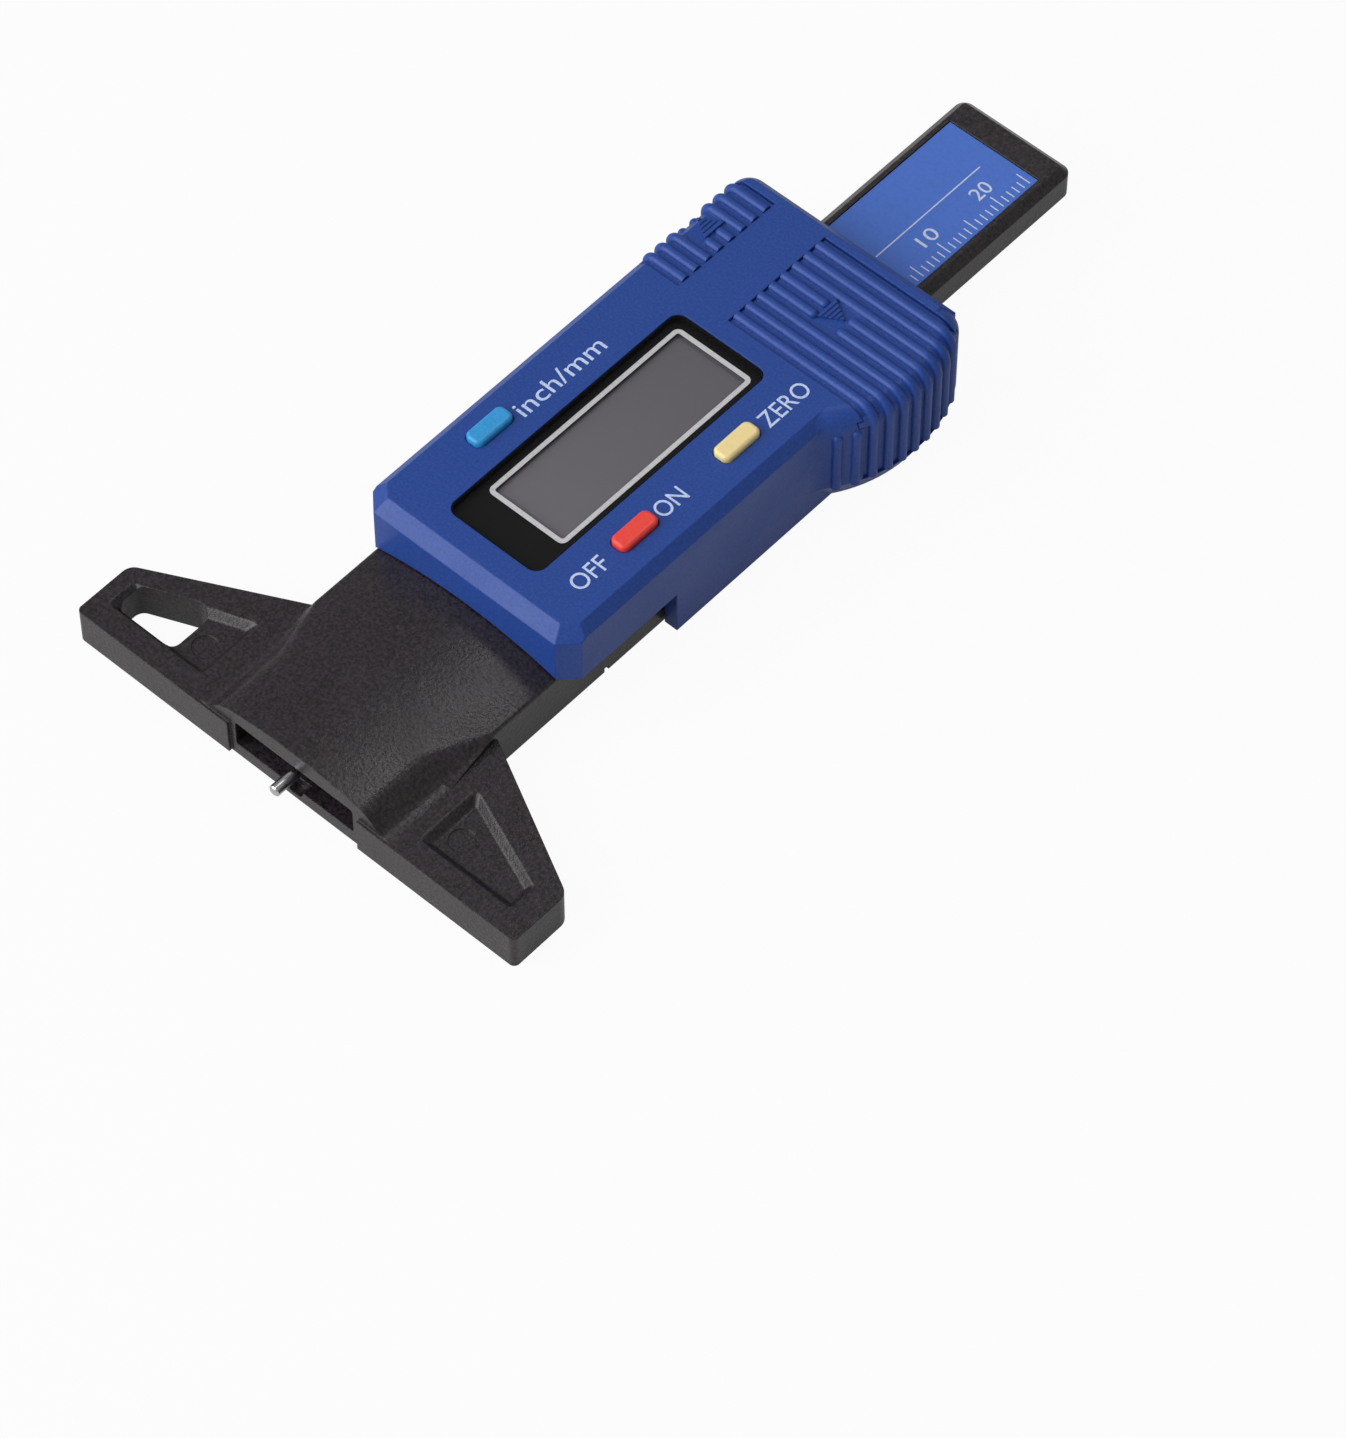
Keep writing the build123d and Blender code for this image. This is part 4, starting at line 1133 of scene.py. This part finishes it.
@dataclass
class SliderShell(Assembly):
    """The blue shell, its floor and the printed legends.

    Attributes:
        face_height: Height of the shell's face in millimetres.
    """

    face_height: float = 15.4

    def finishes(self) -> dict[str, Finish]:
        """Gives the finish of each CAD node.

        Returns:
            Each finish by the name of its node.
        """
        return {
            "front_housing": BLUE_ABS,
            "rear_cover": BLUE_ABS,
            "housing_screws": ZINC_PLATE,
        }

    def legends(self) -> dict[str, Legend]:
        """Gives the printed words with their boxes.

        Returns:
            Each legend by the name of its piece.
        """
        face = self.face_height
        return {
            "legend_units": Legend(
                "inch/mm", base_x=-9.9, top_x=-12.35, start_y=50.6, end_y=65.1, height=face
            ),
            "legend_zero": Legend(
                "ZERO", base_x=12.6, top_x=10.2, start_y=68.7, end_y=76.4, height=face
            ),
            "legend_on": Legend(
                "ON", base_x=12.4, top_x=10.0, start_y=50.4, end_y=54.9, height=face
            ),
            "legend_off": Legend(
                "OFF", base_x=12.4, top_x=10.0, start_y=36.0, end_y=41.3, height=face
            ),
        }

    def add_pieces(self, shop: Workshop) -> None:
        """Prints the legends on the shell's face."""
        for name, legend in self.legends().items():
            shop.piece(name, legend.shape(), WHITE_PAD_PRINT, "slider")


@dataclass
class Display(Assembly):
    """The window with its back print, and the display behind it.

    Attributes:
        window: The window's outline.
        line_outer: Outside of the silver line.
        line_inner: Inside of the silver line and of the back print.
        edge_outer: Outside of the ink on the window's edge.
        edge_inner: Inside of that ink.
        print_floor: Height of the back print's underside in millimetres.
        print_top: Height of its upper face, on which line and edge ink stand.
        line_top: Height of the silver line's upper face.
        edge_top: Height at which the edge ink ends.
    """

    window: RoundedPlan = RoundedPlan(x=-0.3, y=54.6, width=14.4, length=40.2, radius=1.5)
    line_outer: RoundedPlan = RoundedPlan(x=-0.32, y=56.8, width=12.15, length=33.4, radius=0.9)
    line_inner: RoundedPlan = RoundedPlan(x=-0.32, y=56.8, width=10.9, length=32.1, radius=0.35)
    edge_outer: RoundedPlan = RoundedPlan(x=-0.3, y=54.6, width=14.38, length=40.18, radius=1.49)
    edge_inner: RoundedPlan = RoundedPlan(x=-0.3, y=54.6, width=14.26, length=40.06, radius=1.43)
    print_floor: float = 14.41
    print_top: float = 14.43
    line_top: float = 14.46
    edge_top: float = 15.33

    def finishes(self) -> dict[str, Finish]:
        """Gives the finish of each CAD node.

        Returns:
            Each finish by the name of its node.
        """
        return {
            "display_window": CLEAR_ACRYLIC,
            "lcd_panel": BLANK_DISPLAY,
            "lcd_holder": INNER_ABS,
            "zebra_strips": CONNECTOR_RUBBER,
        }

    def add_pieces(self, shop: Workshop) -> None:
        """Lays the window's inks: the black print, the silver line and the edge.

        Args:
            shop: Keeps the materials and takes the pieces.
        """
        prints = {
            "window_back_print": (
                ring(self.window, self.line_inner, self.print_floor, self.print_top),
                BLACK_BACK_PRINT,
            ),
            "window_line_print": (
                ring(self.line_outer, self.line_inner, self.print_top, self.line_top),
                SILVER_LINE_PRINT,
            ),
            "window_edge_ink": (
                ring(self.edge_outer, self.edge_inner, self.print_top, self.edge_top),
                BLACK_BACK_PRINT,
            ),
        }
        for name, (shape, ink) in prints.items():
            shop.piece(name, shape, ink, "slider")


class ButtonColour(Enum):
    """The finishes of the three buttons by what each does."""

    UNITS = LIGHT_BLUE_ACETAL
    ZERO = YELLOW_ACETAL
    POWER = RED_ACETAL


@dataclass
class Buttons(Assembly):
    """The three push buttons and their switches."""

    def finishes(self) -> dict[str, Finish]:
        """Gives each button its own colour, and the switches theirs."""
        colours = {f"{choice.name.lower()}_button": choice.value for choice in ButtonColour}
        return colours | {"switch_domes": CHIP_EPOXY}


@dataclass
class GripCovers(Assembly):
    """The ribbed covers over the cell and over the data port, moulded like the shell."""

    def finishes(self) -> dict[str, Finish]:
        """Gives the finish of each CAD node."""
        return {"battery_cover": BLUE_ABS, "port_cover": BLUE_ABS}


@dataclass
class ProbeDrive(Assembly):
    """The probe with the carriage and strip that move it."""

    def finishes(self) -> dict[str, Finish]:
        """Gives the finish of each CAD node.

        Returns:
            Each finish by the name of its node.
        """
        return {
            "probe_pin": GROUND_STEEL,
            "probe_carriage": INNER_ABS,
            "carrier_strip": ROLLED_STEEL,
            "carrier_rivets": ZINC_PLATE,
            "carrier_screws": ZINC_PLATE,
            "friction_spring": ROLLED_STEEL,
        }


@dataclass
class Electronics(Assembly):
    """The boards with their parts, the cell and its contacts."""

    def finishes(self) -> dict[str, Finish]:
        """Gives the finish of each CAD node.

        Returns:
            Each finish by the name of its node.
        """
        return {
            "main_board": GREEN_BOARD,
            "sensor_board": GREEN_BOARD,
            "controller_chip": CHIP_EPOXY,
            "capacitors": CHIP_EPOXY,
            "crystal": NICKEL_PLATE,
            "port_contacts": GOLD_FLASH,
            "coin_cell": NICKEL_PLATE,
            "battery_contact_negative": ROLLED_STEEL,
            "battery_contact_positive": ROLLED_STEEL,
            "board_screws": ZINC_PLATE,
        }


@dataclass(frozen=True)
class Lamp:
    """A square soft lamp.

    Attributes:
        place: Where it hangs in metres.
        size: Its side in metres.
        power: Its power in watts.
    """

    place: Point
    size: float
    power: float


@dataclass
class Studio:
    """The pale floor, the soft lamps and the camera at the photograph's angle.

    Attributes:
        floor_size: Side of the floor in metres.
        floor_drop: How far it lies under the gauge, so that their faces don't meet.
        horizon_strength: Brightness of the tent at its side.
        ceiling_strength: Brightness of the tent overhead.
        ceiling_start: Height of a direction, as its z, where the ceiling begins.
        ceiling_full: Height of a direction where it is all ceiling.
        key_lamp: The large lamp in front, to the left.
        back_lamp: The small lamp behind, which gives the plastics their highlights.
        aim: The point of the gauge that the lamps face.
        camera_place: The camera's place in metres.
        camera_back: Direction from the gauge to the camera.
        camera_right: Direction of the picture's right.
        lens_mm: Focal length.
        sensor_mm: Height of the sensor.
        clip: Nearest and farthest distance that the camera sees.
    """

    floor_size: float = 6.0
    floor_drop: float = 0.0001
    horizon_strength: float = 0.32
    ceiling_strength: float = 0.3
    ceiling_start: float = 0.35
    ceiling_full: float = 0.7
    key_lamp: Lamp = Lamp((-0.55, -0.95, 0.85), size=1.5, power=22.0)
    back_lamp: Lamp = Lamp((-0.12, 0.59, 1.07), size=0.2, power=0.9)
    aim: Point = (0.0, 0.06, 0.0)
    camera_place: Point = (0.31499, -0.28339, 0.59590)
    camera_back: Point = (0.39384, -0.43633, 0.80902)
    camera_right: Point = (0.74232, 0.67004, 0.0)
    lens_mm: float = 157.99
    sensor_mm: float = 36.0
    clip: tuple[float, float] = (0.01, 20.0)

    def build(self) -> None:
        """Builds the floor, the sky, the lamps and the camera."""
        self.lay_floor()
        self.light_sky()
        self.hang_lamp("key_lamp", self.key_lamp)
        self.hang_lamp("back_lamp", self.back_lamp)
        self.place_camera()
        bpy.context.scene.view_settings.view_transform = "Standard"
        log.info("studio ready")

    def lay_floor(self) -> None:
        """Lays the pale floor."""
        half = self.floor_size / 2
        low = -self.floor_drop
        plan = ((-half, -half), (half, -half), (half, half), (-half, half))
        shape = Shape([(x, y, low) for x, y in plan], [(0, 1, 2, 3)])
        floor = mesh_object("studio_floor", shape, STUDIO_BOARD.material())

    def light_sky(self) -> None:
        """Makes a soft tent, bright at the horizon and dim overhead, white to the camera."""
        world = bpy.data.worlds.new("studio_sky")
        bpy.context.scene.world = world
        world.use_nodes = True
        tree = world.node_tree
        tree.nodes.clear()
        _, straight = straight_rays(tree)
        place = add_node(tree, "ShaderNodeTexCoord").outputs["Generated"]
        sides = add_node(tree, "ShaderNodeSeparateXYZ", links={0: place})
        dimming = add_node(
            tree, "ShaderNodeMapRange",
            {"From Min": self.ceiling_start, "From Max": self.ceiling_full,
             "To Min": self.horizon_strength, "To Max": self.ceiling_strength},
            {"Value": sides.outputs["Z"]},
        )
        soft = add_node(
            tree, "ShaderNodeBackground", {"Color": WHITE},
            {"Strength": dimming.outputs["Result"]},
        )
        white = add_node(tree, "ShaderNodeBackground", {"Color": WHITE, "Strength": 1.0})
        both = add_node(
            tree, "ShaderNodeMixShader",
            links={0: straight, 1: soft.outputs[0], 2: white.outputs[0]},
        )
        add_node(tree, "ShaderNodeOutputWorld", links={"Surface": both.outputs[0]})

    def hang_lamp(self, name: str, lamp: Lamp) -> None:
        """Hangs a soft lamp that faces the gauge.

        Args:
            name: Name of the lamp.
            lamp: Its place, size and power.
        """
        light = bpy.data.lights.new(name, "AREA")
        light.shape = "SQUARE"
        light.size = lamp.size
        light.energy = lamp.power
        hung = stand(name, light)
        towards = Vector(self.aim) - Vector(lamp.place)
        hung.rotation_euler = towards.to_track_quat("-Z", "Y").to_euler()
        hung.location = lamp.place

    def place_camera(self) -> None:
        """Stands the camera where the photograph was taken from."""
        lens = bpy.data.cameras.new("photo_camera")
        lens.lens = self.lens_mm
        lens.sensor_fit = "VERTICAL"
        lens.sensor_height = self.sensor_mm
        lens.clip_start, lens.clip_end = self.clip
        back = Vector(self.camera_back).normalized()
        right = Vector(self.camera_right).normalized()
        up = back.cross(right)
        turn = Matrix((right, up, back)).transposed().to_4x4()
        camera = stand("photo_camera", lens)
        camera.matrix_world = Matrix.Translation(Vector(self.camera_place)) @ turn
        bpy.context.scene.camera = camera


def main() -> None:
    """Builds the gauge's visual model, sub-assembly by sub-assembly."""
    logging.basicConfig(level=logging.INFO, format="%(name)s: %(message)s")
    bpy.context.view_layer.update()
    shop = Workshop()
    for assembly in (
        MeasuringFrame(), SliderShell(), Display(), Buttons(), GripCovers(), ProbeDrive(),
        Electronics(),
    ):
        assembly.build(shop)
        log.info("%s built", type(assembly).__name__)
    Studio().build()


if __name__ == "__main__":
    main()
